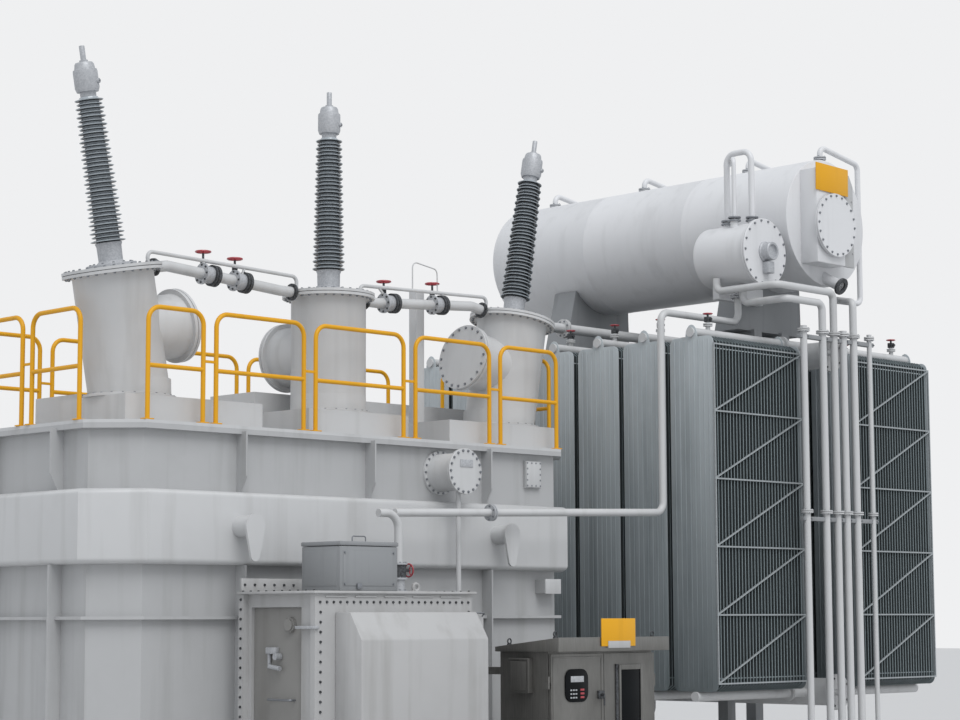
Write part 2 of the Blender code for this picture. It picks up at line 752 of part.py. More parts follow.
def make_turret(place, letter):
    """A vertical foot ring with a leaning drum, its top flange and a side hatch."""
    foot_x = place * TURRET_PITCH
    lean = turret_place(place)
    low = PAD_TOP + GAP
    body = rod(f"turret_{letter}", (foot_x, TURRET_Y, low), (foot_x, TURRET_Y, low + TURRET_FOOT_HEIGHT),
               TURRET_RADIUS, PAINT, sides=18)
    foot = rod(f"foot_tool_{letter}", (foot_x, TURRET_Y, low),
               (foot_x, TURRET_Y, low + TURRET_FOOT_THICK), TURRET_FOOT_RADIUS, sides=18)
    flange_low = TURRET_RISE - TURRET_FLANGE_THICK
    drum_low = TURRET_FOOT_HEIGHT / 2
    drum = turned(f"drum_tool_{letter}",
                  [(0, TURRET_RISE), (TURRET_FLANGE_RADIUS, TURRET_RISE),
                   (TURRET_FLANGE_RADIUS, flange_low), (TURRET_RADIUS, flange_low),
                   (TURRET_RADIUS, drum_low), (0, drum_low)], lean, sides=18)
    outward = {-1: Vector((1, 0, 0)), 0: Vector((0, 1, 0)), 1: Vector((-1, 0, 0))}[place]
    start = lean @ Vector((0, 0, STUB_RISE))
    outward = lean.to_3x3() @ outward
    tip = start + outward * STUB_REACH
    stub = rod(f"stub_tool_{letter}", start, tip, STUB_RADIUS, sides=14)
    hatch = rod(f"hatch_tool_{letter}", tip - outward * STUB_FLANGE_THICK,
                tip + outward * STUB_FLANGE_THICK, STUB_FLANGE_RADIUS, sides=14)
    return fuse(body, foot, drum, stub, hatch)


def shed_profile():
    """The bushing's outline from its stud down to its foot flange."""
    base = BUSHING_FOOT_THICK + BUSHING_TUBE_HEIGHT
    shed_top = base + SHED_COUNT * SHED_PITCH
    cap_low = shed_top + CAP_NECK_HEIGHT
    cap_high = cap_low + CAP_HEIGHT
    profile = [(0, cap_high + STUD_HEIGHT), (STUD_RADIUS, cap_high + STUD_HEIGHT),
               (STUD_RADIUS, cap_high), (CAP_TOP_RADIUS, cap_high),
               (CAP_RADIUS, cap_high - CAP_SHOULDER), (CAP_RADIUS, cap_low),
               (CAP_NECK_RADIUS, cap_low), (CAP_NECK_RADIUS, shed_top)]
    for shed in reversed(range(SHED_COUNT)):
        share = shed / (SHED_COUNT - 1)
        rim = SHED_LOW_RADIUS + (SHED_HIGH_RADIUS - SHED_LOW_RADIUS) * share
        core = CORE_LOW_RADIUS + (CORE_HIGH_RADIUS - CORE_LOW_RADIUS) * share
        height = base + shed * SHED_PITCH
        profile.append((core, height + 0.8 * SHED_PITCH))
        profile.append((rim, height + 0.3 * SHED_PITCH))
    profile += [(CORE_LOW_RADIUS, base), (BUSHING_TUBE_RADIUS, base),
                (BUSHING_TUBE_RADIUS, BUSHING_FOOT_THICK),
                (BUSHING_FOOT_RADIUS, BUSHING_FOOT_THICK), (BUSHING_FOOT_RADIUS, 0), (0, 0)]
    return profile


def make_bushing(place, letter):
    seat = turret_place(place) @ Matrix.Translation((0, 0, TURRET_RISE + GAP))
    return turned(f"bushing_{letter}", shed_profile(), seat, PORCELAIN, sides=8)


def make_vent_pipe(name, left, right):
    """Two valves in the oil pipe between neighbouring turrets, with a thin air pipe."""
    ends = []
    knees = []
    seats = []
    rises = []
    for place, inward in ((left, 1), (right, -1)):
        lean = turret_place(place)
        reach = inward * (TURRET_FLANGE_RADIUS + GAP)
        height = TURRET_RISE - TURRET_FLANGE_THICK / 2
        ends.append(lean @ Vector((reach, 0, height)))
        knees.append(lean @ Vector((reach + inward * VENT_PIPE_REACH, 0, height)))
        seats.append(lean @ Vector((inward * AIR_PIPE_SEAT, 0, TURRET_RISE + GAP)))
        rises.append(lean @ Vector((inward * AIR_PIPE_SEAT, 0, TURRET_RISE + AIR_PIPE_RISE)))
    body = pipe(name, [ends[0], knees[0], knees[1], ends[1]], VENT_PIPE_RADIUS, 0.08, PAINT, sides=8)
    air = pipe(f"{name}_air_tool", [seats[0], rises[0], rises[1], seats[1]], AIR_PIPE_RADIUS, 0.05)
    fuse(body, air)
    along = knees[1] - knees[0]
    for share in VALVE_SHARES:
        middle = knees[0] + along * share
        half = along.normalized() * VALVE_LENGTH / 2
        above = rises[0] + (rises[1] - rises[0]) * share
        fuse(body, rod(f"{name}_valve_tool_{share}", middle - half, middle + half, VALVE_RADIUS, sides=10),
             rod(f"{name}_tie_tool_{share}", middle, above, AIR_PIPE_RADIUS, sides=6))
    return body


def rail_spot(across, base, along, height):
    """A point of a handrail that runs along X or Y at a fixed distance."""
    return Vector((along, base, height)) if across == 'X' else Vector((base, along, height))


def rail_panel_tools(name, ends, across, base):
    """An arched panel of tube with a middle rail."""
    low = ends[0] + RAIL_RADIUS
    high = ends[1] - RAIL_RADIUS
    foot_z = COVER_TOP + GAP
    route = [rail_spot(across, base, low, foot_z), rail_spot(across, base, low, RAIL_TOP),
             rail_spot(across, base, high, RAIL_TOP), rail_spot(across, base, high, foot_z)]
    arch = pipe(f"{name}_arch_tool", route, RAIL_RADIUS, RAIL_BEND)
    middle = rod(f"{name}_middle_tool", rail_spot(across, base, low, RAIL_MID),
                 rail_spot(across, base, high, RAIL_MID), RAIL_MIDDLE_RADIUS, sides=6)
    return [arch, middle]


def make_rail(name, panels, across, base):
    """A row of panels on a bolted foot, tied by links between neighbouring posts."""
    tools = []
    for number, ends in enumerate(panels):
        tools += rail_panel_tools(f"{name}_{number}", ends, across, base)
    height = RAIL_MID + RAIL_LINK_RISE
    half = RAIL_LINK / 2
    for number, (first, second) in enumerate(zip(panels, panels[1:])):
        tools.append(box(f"{name}_link_tool_{number}",
                         rail_spot(across, base - half, first[1] - RAIL_RADIUS, height),
                         rail_spot(across, base + half, second[0] + RAIL_RADIUS, height + RAIL_LINK)))
    post = panels[0][0] + RAIL_RADIUS
    foot_low = COVER_TOP + GAP
    seat = box(name, rail_spot(across, base - RAIL_FOOT[1] / 2, post - RAIL_FOOT[0] / 2, foot_low),
               rail_spot(across, base + RAIL_FOOT[1] / 2, post + RAIL_FOOT[0] / 2,
                         foot_low + RAIL_FOOT_THICK), YELLOW)
    return fuse(seat, *tools)


def long_panels():
    """The ends of the panels along the tank, from left to right."""
    panels = []
    start = RAIL_START
    for length in RAIL_LENGTHS:
        panels.append((start, start + length))
        start += length + RAIL_SPACE
    return panels


def make_rails():
    make_rail("handrail_front", long_panels(), 'X', -RAIL_Y)
    make_rail("handrail_back", long_panels(), 'X', RAIL_Y)
    half = RAIL_END_SPACE / 2
    end_panels = ((-RAIL_END_REACH, -half), (half, RAIL_END_REACH))
    make_rail("handrail_left", end_panels, 'Y', -RAIL_END_X)
    make_rail("handrail_right", end_panels, 'Y', RAIL_END_X)


def make_front_drum():
    """The short oil drum with a bolted round lid on the tank's front wall."""
    lid = DRUM_LENGTH - DRUM_FLANGE_THICK
    profile = [(0, DRUM_LENGTH), (DRUM_FLANGE, DRUM_LENGTH), (DRUM_FLANGE, lid), (DRUM_RADIUS, lid),
               (DRUM_RADIUS, DRUM_FLANGE_THICK), (DRUM_FOOT, DRUM_FLANGE_THICK), (DRUM_FOOT, 0), (0, 0)]
    drum = turned("front_drum", profile, axis_along_y(DRUM_X, FRONT_WALL, DRUM_Z), PAINT, sides=16)
    pipe_y = FRONT_WALL - DRAIN_OUT
    drain = pipe("drum_drain_tool", [(DRUM_X, pipe_y, DRUM_Z - DRUM_RADIUS + 2 * SINK),
                                     (DRUM_X, pipe_y, DRAIN_LOW_Z), (DRUM_X, FRONT_WALL, DRAIN_LOW_Z)],
                 DRAIN_RADIUS, DRAIN_BEND)
    return fuse(drum, drain)


def comb_outline(left, right, open_edge, web_edge, count):
    """The plan of one radiator: thin panels side by side, joined at their far edge."""
    pitch = (right - left - FIN_THICK) / (count - 1)
    web_inner = web_edge - math.copysign(FIN_WEB, web_edge - open_edge)
    points = []
    for fin in range(count):
        start = left + fin * pitch
        end = start + FIN_THICK
        if fin > 0:
            points.append((start, web_inner))
        points.append((start, open_edge))
        points.append((end, open_edge))
        if fin < count - 1:
            points.append((end, web_inner))
    points.append((right, web_edge))
    points.append((left, web_edge))
    return points


def radiator_range(number):
    """The front and back Y of one radiator, counted from the front."""
    front = RAD_FRONT + number * RAD_PITCH
    return front, front + RAD_PITCH - RAD_GAP


def make_radiator(number, letter, ends):
    front, back = radiator_range(number)
    last = number == RAD_COUNT - 1
    edges = (back, front) if last else (front, back)
    count = {0: FIN_COUNT, RAD_COUNT - 1: BACK_FIN_COUNT}.get(number, INNER_FIN_COUNT)
    middle = (ends[0] + ends[1]) / 2
    half = (ends[1] - ends[0]) / 2
    depth = edges[1] - edges[0]
    curve = flat_curve(f"radiator_{letter}{number + 1}", comb_outline(-half, half, 0, depth, count),
                       RAD_TOP - RAD_BOTTOM)
    place = Matrix.Translation((middle, edges[0], (RAD_TOP + RAD_BOTTOM) / 2))
    return curve_to_mesh(f"radiator_{letter}{number + 1}", curve, place, RADIATOR_PAINT)


def make_manifold(name, centre_z, header_z):
    """The main oil pipe between the two banks, with a header to each radiator."""
    body = rod(name, (MANIFOLD_X, MANIFOLD_FRONT, centre_z), (MANIFOLD_X, MANIFOLD_BACK, centre_z),
               MANIFOLD_RADIUS, PAINT)
    tools = []
    for y in (MANIFOLD_FRONT, MANIFOLD_BACK):
        tools.append(rod(f"{name}_lid_tool_{y}", (MANIFOLD_X, y - MANIFOLD_LID / 2, centre_z),
                         (MANIFOLD_X, y + MANIFOLD_LID / 2, centre_z), MANIFOLD_FLANGE))
    for number in range(RAD_COUNT):
        middle = sum(radiator_range(number)) / 2
        tools.append(rod(f"{name}_header_tool_{number}", (BANK_A[0] - HEADER_END, middle, header_z),
                         (BANK_B[1] + HEADER_END, middle, header_z), HEADER_RADIUS, sides=6))
        if header_z > centre_z:
            vent_x = BANK_A[0] + VENT_INSET
            tools.append(rod(f"{name}_vent_tool_{number}", (vent_x, middle, header_z),
                             (vent_x, middle, header_z + HEADER_RADIUS + VENT_HEIGHT),
                             VENT_RADIUS, sides=4))
    return fuse(body, *tools)


def make_brace(name, ends, face_y, outward):
    """A lattice of flat bars across the panels' edges, with a diagonal in each bay."""
    half = BRACE_BAR / 2
    left = (ends[0] - ends[1]) / 2
    right = -left
    height = (BRACE_LEVELS - 1) * BRACE_STEP
    levels = [-step * BRACE_STEP for step in range(BRACE_LEVELS)]
    outline = [(left - half, -height - half), (right + half, -height - half),
               (right + half, half), (left - half, half)]
    curve = flat_curve(name, outline, BRACE_BAR)
    slope = (BRACE_STEP - BRACE_BAR) / (right - left - BRACE_BAR)
    rise = half * math.hypot(1, slope)
    run = rise / slope
    for high, low in zip(levels, levels[1:]):
        low, high = low + half, high - half
        add_loop(curve, [(left + half, low + rise), (right - half - run, high), (left + half, high)])
        add_loop(curve, [(left + half + run, low), (right - half, low), (right - half, high - rise)])
    place = Matrix.Translation(((ends[0] + ends[1]) / 2, face_y + outward * (half + GAP), BRACE_TOP_Z))
    return curve_to_mesh(name, curve, place @ Matrix.Rotation(math.radians(90), 4, 'X'), GALVANISED)


def frame_upright_tools(number, x):
    """The two posts and feet under one of the frame's beams."""
    half = FRAME_POST / 2
    foot = FRAME_FOOT / 2
    tools = []
    for y in (-FRAME_POST_Y, FRAME_POST_Y):
        tools.append(box(f"frame_post_tool_{number}_{y}", (x - half + GAP, y - half, GAP),
                         (x + half - GAP, y + half, FRAME_BEAM_LOW + SINK)))
        tools.append(box(f"frame_foot_tool_{number}_{y}", (x - foot, y - foot, 0),
                         (x + foot, y + foot, FRAME_FOOT_THICK)))
    return tools


def saddle_tools():
    """The tapered saddles that the main conservator lies in."""
    low = FRAME_BEAM_TOP - SINK
    high = MAIN_Z - SADDLE_SINK
    outline = [(SADDLE_X[0], low), (SADDLE_X[1], low), (SADDLE_X[1] - SADDLE_TAPER[1], high),
               (SADDLE_X[0] + SADDLE_TAPER[0], high)]
    return [plate(f"saddle_tool_{number}", outline, (0, y, 0), (1, 0, 0), (0, 0, 1), SADDLE_THICK)
            for number, y in enumerate((-SADDLE_Y, SADDLE_Y))]


def make_bank_frame():
    """Twin posts between the banks, with beams and saddles for the conservators."""
    half = FRAME_POST / 2
    sides = (MANIFOLD_X - FRAME_SPREAD, MANIFOLD_X + FRAME_SPREAD)
    frame = box("bank_frame", (sides[0] - half, -FRAME_BEAM_HALF, FRAME_BEAM_LOW),
                (sides[0] + half, FRAME_BEAM_HALF, FRAME_BEAM_TOP), DARK_PAINT)
    fuse(frame, box("frame_beam_tool", (sides[1] - half, -FRAME_BEAM_HALF, FRAME_BEAM_LOW),
                    (sides[1] + half, FRAME_BEAM_HALF, FRAME_BEAM_TOP)))
    for number, x in enumerate(sides):
        fuse(frame, *frame_upright_tools(number, x))
    for number, y in enumerate((-FRAME_POST_Y, FRAME_POST_Y)):
        fuse(frame, box(f"frame_tie_tool_{number}", (sides[0], y - half * 0.6, FRAME_TIE_Z[0]),
                        (sides[1], y + half * 0.6, FRAME_TIE_Z[1])))
    fuse(frame, *saddle_tools())
    shell = rod("saddle_cut_tool", (MAIN_X, MAIN_FRONT - MAIN_DISH, MAIN_Z),
                (MAIN_X, MAIN_BACK + MAIN_DISH, MAIN_Z), MAIN_RADIUS + GAP, sides=24)
    return cut(frame, shell)


def loop_tools():
    """The bent pipes from the conservator's top flanges down its far side."""
    tools = []
    top = MAIN_Z + MAIN_RADIUS
    start = MAIN_X + LOOP_START
    out = MAIN_X + MAIN_RADIUS + LOOP_CLEAR
    for number, y in enumerate(LOOP_PLACES):
        if number:
            end = (MAIN_X + MAIN_RADIUS - LOOP_SHORT_RETURN, y, MAIN_Z - LOOP_SHORT_DROP)
        else:
            end = (out - LOOP_RETURN, y, MAIN_Z - LOOP_END_DROP)
        route = [(start, y, top - 2 * SINK), (start, y, top + LOOP_RISE),
                 (out, y, top + LOOP_RISE - LOOP_FALL), (out, y, end[2]), end]
        tools.append(pipe(f"loop_tool_{number}", route, LOOP_RADIUS, 0.07, steps=1))
        tools.append(rod(f"loop_flange_tool_{number}", (start, y, top + LOOP_RADIUS),
                         (start, y, top + 2 * LOOP_RADIUS), LOOP_FLANGE, sides=6))
    return tools


def end_cover_tools():
    """The raised cover on the conservator's front end, its manhole and side plate."""
    front = MAIN_FRONT - END_BOX_REACH
    back = MAIN_FRONT + SINK
    lid = front - MANHOLE_NECK_LENGTH
    cover = box("end_box_tool", (END_BOX_X[0], front, END_BOX_Z[0]), (END_BOX_X[1], back, END_BOX_Z[1]))
    side = box("end_plate_tool", (END_BOX_X[1] - SINK, front + SINK, END_BOX_Z[0]),
               (END_BOX_X[1] + END_PLATE_WIDTH, front + SINK + END_PLATE_THICK, END_BOX_Z[1] - SINK))
    neck = rod("manhole_neck_tool", (MANHOLE_X, front + SINK, MANHOLE_Z), (MANHOLE_X, lid - SINK, MANHOLE_Z),
               MANHOLE_NECK, sides=16)
    disc = rod("manhole_tool", (MANHOLE_X, lid, MANHOLE_Z), (MANHOLE_X, lid - MANHOLE_THICK, MANHOLE_Z),
               MANHOLE_RADIUS, sides=20)
    return [cover, side, neck, disc]


def nozzle_line():
    """The two ends of the drain nozzle, which slopes down out of the drum's end."""
    root = Vector((NOZZLE_X, MAIN_FRONT + 2 * SINK, MAIN_Z - NOZZLE_DROP))
    tip = Vector((NOZZLE_X, MAIN_FRONT - NOZZLE_REACH, MAIN_Z - NOZZLE_DROP - NOZZLE_FALL))
    return root, tip


def make_conservator():
    """The main oil conservator: a long drum, flat at the front and dished at the back."""
    length = MAIN_BACK - MAIN_FRONT
    profile = [(0, 0), (MAIN_RADIUS, 0), (MAIN_RADIUS, -length),
               (MAIN_RADIUS * 0.6, -length - MAIN_DISH * 0.8), (0, -length - MAIN_DISH)]
    drum = turned("conservator", profile, axis_along_y(MAIN_X, MAIN_FRONT, MAIN_Z), PAINT, sides=24)
    root, tip = nozzle_line()
    slope = (tip - root).normalized()
    nozzle = rod("nozzle_tool", root, tip, NOZZLE_RADIUS, sides=10)
    ring = rod("nozzle_flange_tool", tip - slope * 2 * SINK, tip, NOZZLE_FLANGE, sides=10)
    fuse(drum, *loop_tools(), *end_cover_tools(), nozzle, ring)
    return cut(drum, rod("nozzle_bore_tool", root + slope * NOZZLE_FLANGE, tip + slope * SINK, NOZZLE_BORE,
                         sides=8))


def make_small_conservator():
    """The tap changer's small conservator, with a flanged front and a dished back."""
    length = SMALL_BACK - SMALL_FRONT
    profile = [(0, 0), (SMALL_FLANGE, 0), (SMALL_FLANGE, -SMALL_FLANGE_THICK),
               (SMALL_RADIUS, -SMALL_FLANGE_THICK), (SMALL_RADIUS, -length),
               (SMALL_RADIUS * 0.6, -length - SMALL_DISH * 0.8), (0, -length - SMALL_DISH)]
    drum = turned("small_conservator", profile, axis_along_y(SMALL_X, SMALL_FRONT, SMALL_Z), PAINT,
                  sides=20)
    gauge = rod("gauge_tool", (SMALL_X, SMALL_FRONT + SINK, SMALL_Z),
                (SMALL_X, SMALL_FRONT - GAUGE_LENGTH, SMALL_Z), GAUGE_RADIUS)
    top = SMALL_Z + SMALL_RADIUS - SINK
    arch = pipe("arch_tool", [(SMALL_X, ARCH_Y[0], top), (SMALL_X, ARCH_Y[0], ARCH_TOP),
                              (SMALL_X, ARCH_Y[1], ARCH_TOP), (SMALL_X, ARCH_Y[1], top)],
                LOOP_RADIUS, 0.10, steps=3)
    bottom = SMALL_Z - SMALL_RADIUS
    foot_y = -SADDLE_Y - SADDLE_THICK / 2 - GAP
    shelf = box("shelf_tool", (SMALL_X - SHELF_HALF, foot_y - SHELF_DEEP, bottom + SHELF_Z[0]),
                (SADDLE_X[0] + SHELF_RUN, foot_y, bottom + SHELF_Z[1]))
    return fuse(drum, gauge, arch, shelf)


def run_off(x, run_z, end):
    """The way from a riser's foot up to a level run, and on to the run's end."""
    return [(x, RISER_Y, RISER_Z_LOW), (x, RISER_Y, run_z), (end[0], RISER_Y, run_z),
            (end[0], end[1], run_z), end]


def riser_routes():
    """The upright pipes' routes; three of them bend off above the upper bar."""
    spots = [MANIFOLD_X + offset for offset, radius in RISERS]
    routes = [[(x, RISER_Y, RISER_Z_LOW), (x, RISER_Y, RISER_Z_HIGH)] for x in spots]
    routes[1] = run_off(spots[1], LOW_RUN_Z, LOW_RUN_END)
    routes[2] = run_off(spots[2], HIGH_RUN_Z, HIGH_RUN_END)
    routes[4] = [(spots[4], RISER_Y, RISER_Z_LOW), (spots[4], RISER_Y, SIDE_RUN_Z), SIDE_RUN_END]
    return routes


def make_risers():
    """Six upright pipes in front of the banks, tied by bars, with stubs to the manifolds."""
    pipes = []
    for number, (route, (offset, radius)) in enumerate(zip(riser_routes(), RISERS)):
        name = "riser_pipes" if number == 0 else f"riser_tool_{number}"
        pipes.append(pipe(name, route, radius, RISER_BEND, PAINT if number == 0 else None, steps=1))
    first_x = MANIFOLD_X + RISERS[0][0] - RISER_BAR_END
    last_x = MANIFOLD_X + RISERS[-1][0] + RISER_BAR_END
    tools = []
    for level, z in enumerate(RISER_BARS):
        tools.append(box(f"riser_bar_tool_{level}", (first_x, RISER_Y + RISER_BAR_Y[0], z - RISER_BAR_HALF),
                         (last_x, RISER_Y + RISER_BAR_Y[1], z + RISER_BAR_HALF)))
    stub_x = MANIFOLD_X + RISERS[2][0]
    reach_y = MANIFOLD_FRONT - MANIFOLD_LID / 2 - GAP
    for level, z in enumerate((MANIFOLD_LOW_Z, MANIFOLD_TOP_Z)):
        tools.append(rod(f"riser_stub_tool_{level}", (stub_x, RISER_Y, z), (stub_x, reach_y, z),
                         RISER_STUB_RADIUS, sides=6))
    return fuse(pipes[0], *pipes[1:], *tools)


def make_feed_pipe():
    """The thin oil pipe along the tank, up the bank's side and to the small conservator."""
    top = SMALL_Z - SMALL_RADIUS - GAP
    route = [(FEED_X_LEFT, FEED_Y, FEED_Z), (FEED_RISER_X, FEED_Y, FEED_Z_RIGHT),
             (FEED_RISER_X, FEED_Y, FEED_TOP_Z), (SMALL_X, FEED_Y, FEED_TOP_Z), (SMALL_X, FEED_Y, top)]
    body = pipe("feed_pipe", route, FEED_RADIUS, FEED_BEND, PAINT, steps=3)
    flange_z = top - FEED_FLANGE_DROP
    flange = rod("feed_flange_tool", (SMALL_X, FEED_Y, flange_z - FEED_FLANGE_HALF),
                 (SMALL_X, FEED_Y, flange_z + FEED_FLANGE_HALF), FEED_FLANGE, sides=8)
    slope = (FEED_Z_RIGHT - FEED_Z) / (FEED_RISER_X - FEED_X_LEFT)
    joint_z = FEED_Z + slope * (FEED_JOINT_X - FEED_X_LEFT)
    joint = rod("feed_joint_tool", (FEED_JOINT_X - FEED_FLANGE_HALF, FEED_Y, joint_z),
                (FEED_JOINT_X + FEED_FLANGE_HALF, FEED_Y, joint_z), FEED_FLANGE, sides=8)
    branch_x = FEED_X_LEFT + FEED_BRANCH
    roof = CABLE_Z[1] + GAP + CABLE_ROOF_THICK + GAP
    branch = rod("feed_branch_tool", (branch_x, FEED_Y, FEED_Z), (branch_x, FEED_Y, roof), FEED_RADIUS,
                 sides=6)
    valve = box("feed_valve_tool",
                (branch_x - FEED_VALVE_HALF[0], FEED_Y - FEED_VALVE_HALF[1], roof + FEED_VALVE_Z[0]),
                (branch_x + FEED_VALVE_HALF[0], FEED_Y + FEED_VALVE_HALF[1], roof + FEED_VALVE_Z[1]))
    return fuse(body, flange, joint, branch, valve)


def make_oil_pipes():
    """The large pipes from the tank's end to the top and bottom manifolds."""
    top_seat = MANIFOLD_TOP_Z + MANIFOLD_RADIUS + GAP
    pipe("oil_pipe_top", [(END_WALL, OIL_Y, OIL_TANK_Z), (OIL_RISE_X, OIL_Y, OIL_TANK_Z),
                          (OIL_RISE_X, OIL_Y, OIL_TOP_Z), (MANIFOLD_X, OIL_Y, OIL_TOP_Z),
                          (MANIFOLD_X, OIL_Y, top_seat)], OIL_RADIUS, OIL_TOP_BEND, PAINT, sides=8)
    low_seat = MANIFOLD_LOW_Z - MANIFOLD_RADIUS - GAP
    pipe("oil_pipe_bottom", [(END_WALL, OIL_Y, OIL_LOW_Z), (MANIFOLD_X, OIL_Y, OIL_LOW_Z),
                             (MANIFOLD_X, OIL_Y, low_seat)], OIL_RADIUS, OIL_LOW_BEND, PAINT, sides=8)


def make_cable_box():
    """The box that the cables enter, with bolted frames and a neck into the tank."""
    x0, x1 = CABLE_X
    y0, y1 = CABLE_Y
    z0, z1 = CABLE_Z
    body = box("cable_box", (x0 + CABLE_FLANGE, y0 + CABLE_FLANGE_THICK, z0), (x1 - CABLE_FLANGE, y1, z1),
               PAINT)
    tools = [box("cable_front_tool", (x0, y0, z0 - CABLE_STRIP_REACH), (x1, y0 + 2 * CABLE_FLANGE_THICK, z1)),
             box("cable_left_tool", (x0 - CABLE_STRIP_REACH, y1 - CABLE_STRIP, z0),
                 (x0 + CABLE_STRIP, y1 - GAP, z1 - GAP)),
             box("cable_right_tool", (x1 - CABLE_STRIP, y1 - CABLE_STRIP, z0),
                 (x1 + CABLE_STRIP_REACH, y1 - GAP, z1 - GAP)),
             box("cable_neck_tool", (THROAT_X[0], y1 - SINK, THROAT_Z[0]),
                 (THROAT_X[1], FRONT_WALL, THROAT_Z[1]))]
    for x in (x0 + CABLE_LEG_INSET, x1 - CABLE_LEG_INSET - CABLE_LEG):
        for y in (y0 + CABLE_LEG_INSET, y1 - CABLE_LEG_INSET - CABLE_LEG):
            tools.append(box(f"cable_leg_tool_{x}_{y}", (x, y, 0), (x + CABLE_LEG, y + CABLE_LEG, z0 + SINK)))
    fuse(body, *tools)
    left_wall = x0 + CABLE_FLANGE
    return cut(body, box("cable_recess_tool", (left_wall - SINK, y0 + RECESS_Y[0], z0 + RECESS_Z[0]),
                         (left_wall + RECESS_DEEP, y1 - RECESS_Y[1], z1 - RECESS_Z[1])))


def make_hood():
    """The raised cover on the cable box's front, with a sloping top."""
    back = CABLE_Y[0] - GAP
    front = back - HOOD_DEEP
    outline = [(back, HOOD_Z[0]), (front, HOOD_Z[0]), (front, HOOD_Z[1] - HOOD_SLOPE_DROP),
               (front + HOOD_SLOPE_RUN, HOOD_Z[1]), (back, HOOD_Z[1])]
    middle = (HOOD_X[0] + HOOD_X[1]) / 2
    return plate("cable_hood", outline, (middle, 0, 0), (0, 1, 0), (0, 0, 1), HOOD_X[1] - HOOD_X[0], PAINT)


def make_cable_roof():
    reach = CABLE_ROOF_REACH
    low = CABLE_Z[1] + GAP
    return box("cable_roof", (CABLE_X[0] - reach, CABLE_Y[0] - reach, low),
               (CABLE_X[1] + reach, CABLE_Y[1], low + CABLE_ROOF_THICK), PAINT)


def make_terminal_box():
    """The small box on the cable box's roof, with a wire handle."""
    low = CABLE_Z[1] + CABLE_ROOF_THICK + 2 * GAP
    top = low + TERMINAL_HEIGHT
    body = box("terminal_box", (TERMINAL_X[0], TERMINAL_Y[0], low), (TERMINAL_X[1], TERMINAL_Y[1], top),
               DARK_PAINT, bevel=TERMINAL_EDGE)
    middle = (TERMINAL_Y[0] + TERMINAL_Y[1]) / 2
    left, right = TERMINAL_X[1] - HANDLE_X[0], TERMINAL_X[1] - HANDLE_X[1]
    handle = pipe("terminal_handle_tool",
                  [(left, middle, top - SINK), (left, middle, top + HANDLE_HEIGHT),
                   (right, middle, top + HANDLE_HEIGHT), (right, middle, top - SINK)],
                  HANDLE_RADIUS, HANDLE_BEND)
    return fuse(body, handle)


def hinge_axis(side):
    """The X and Y of a kiosk door's hinge line; side is -1 at the left, 1 at the right."""
    edge = KIOSK_X[0] if side < 0 else KIOSK_X[1]
    return edge + side * HINGE_OUT, KIOSK_Y[0] - HINGE_BACK - DOOR_SEAL


def hinge_leaf_tools(side, height):
    """The case's knuckle under a door's knuckle, with the strap that carries it."""
    axis_x, axis_y = hinge_axis(side)
    edge = KIOSK_X[0] if side < 0 else KIOSK_X[1]
    high = height - KNUCKLE_LENGTH / 2 - KNUCKLE_GAP
    low = high - KNUCKLE_LENGTH
    pin = rod(f"knuckle_tool_{side}_{height}", (axis_x, axis_y, low), (axis_x, axis_y, high),
              KNUCKLE_RADIUS, sides=6)
    front = KIOSK_Y[0] + STRAP_DEPTH[0]
    back = KIOSK_Y[0] + STRAP_DEPTH[1]
    arm = box(f"knuckle_arm_tool_{side}_{height}", (axis_x - KNUCKLE_RADIUS, axis_y, low + STRAP_TRIM),
              (axis_x + KNUCKLE_RADIUS, back, high - STRAP_TRIM))
    tie_x = sorted((axis_x, edge - side * DOOR_SEAL))
    tie = box(f"knuckle_tie_tool_{side}_{height}", (tie_x[0], front, low + 2 * STRAP_TRIM),
              (tie_x[1], back - STRAP_TRIM, high - 2 * STRAP_TRIM))
    return pin, arm, tie


def make_kiosk():
    """The kiosk's case, open at the front, on a plinth and two arms from the tank."""
    x0, x1 = KIOSK_X
    y0, y1 = KIOSK_Y
    z0, z1 = KIOSK_Z
    wall = KIOSK_WALL
    case = box("kiosk_case", (x0, y0, z0), (x1, y1, z1), STEEL)
    cut(case, box("kiosk_inside_tool", (x0 + wall, y0 - wall, z0 + wall), (x1 - wall, y1 - wall, z1 - wall)))
    inset = PLINTH_INSET
    plinth = box("kiosk_plinth_tool", (x0 + inset, y0 + inset, 0), (x1 - inset, y1 - inset, z0 + wall / 2))
    gear = box("kiosk_gear_tool", (x0 + GEAR_INSET_X, y1 - wall - GEAR_DEEP, z0 + GEAR_INSET_Z),
               (x1 - GEAR_INSET_X, y1 - wall / 2, z1 - GEAR_INSET_Z))
    vent = box("kiosk_vent_tool", (x0 - VENT_BOX_REACH, y0 + VENT_BOX_Y[0], z1 - VENT_BOX_DROP[0]),
               (x0 + wall / 2, y0 + VENT_BOX_Y[1], z1 - VENT_BOX_DROP[1]))
    arms = [box(f"kiosk_arm_tool_{x}", (x, y1 - wall / 2, ARM_Z),
                (x + ARM_SIZE, FRONT_WALL, ARM_Z + ARM_SIZE)) for x in ARM_X]
    fuse(case, plinth, gear, vent, *arms)
    for side in (-1, 1):
        for height in HINGE_HEIGHTS:
            fuse(case, *hinge_leaf_tools(side, height))
    return case


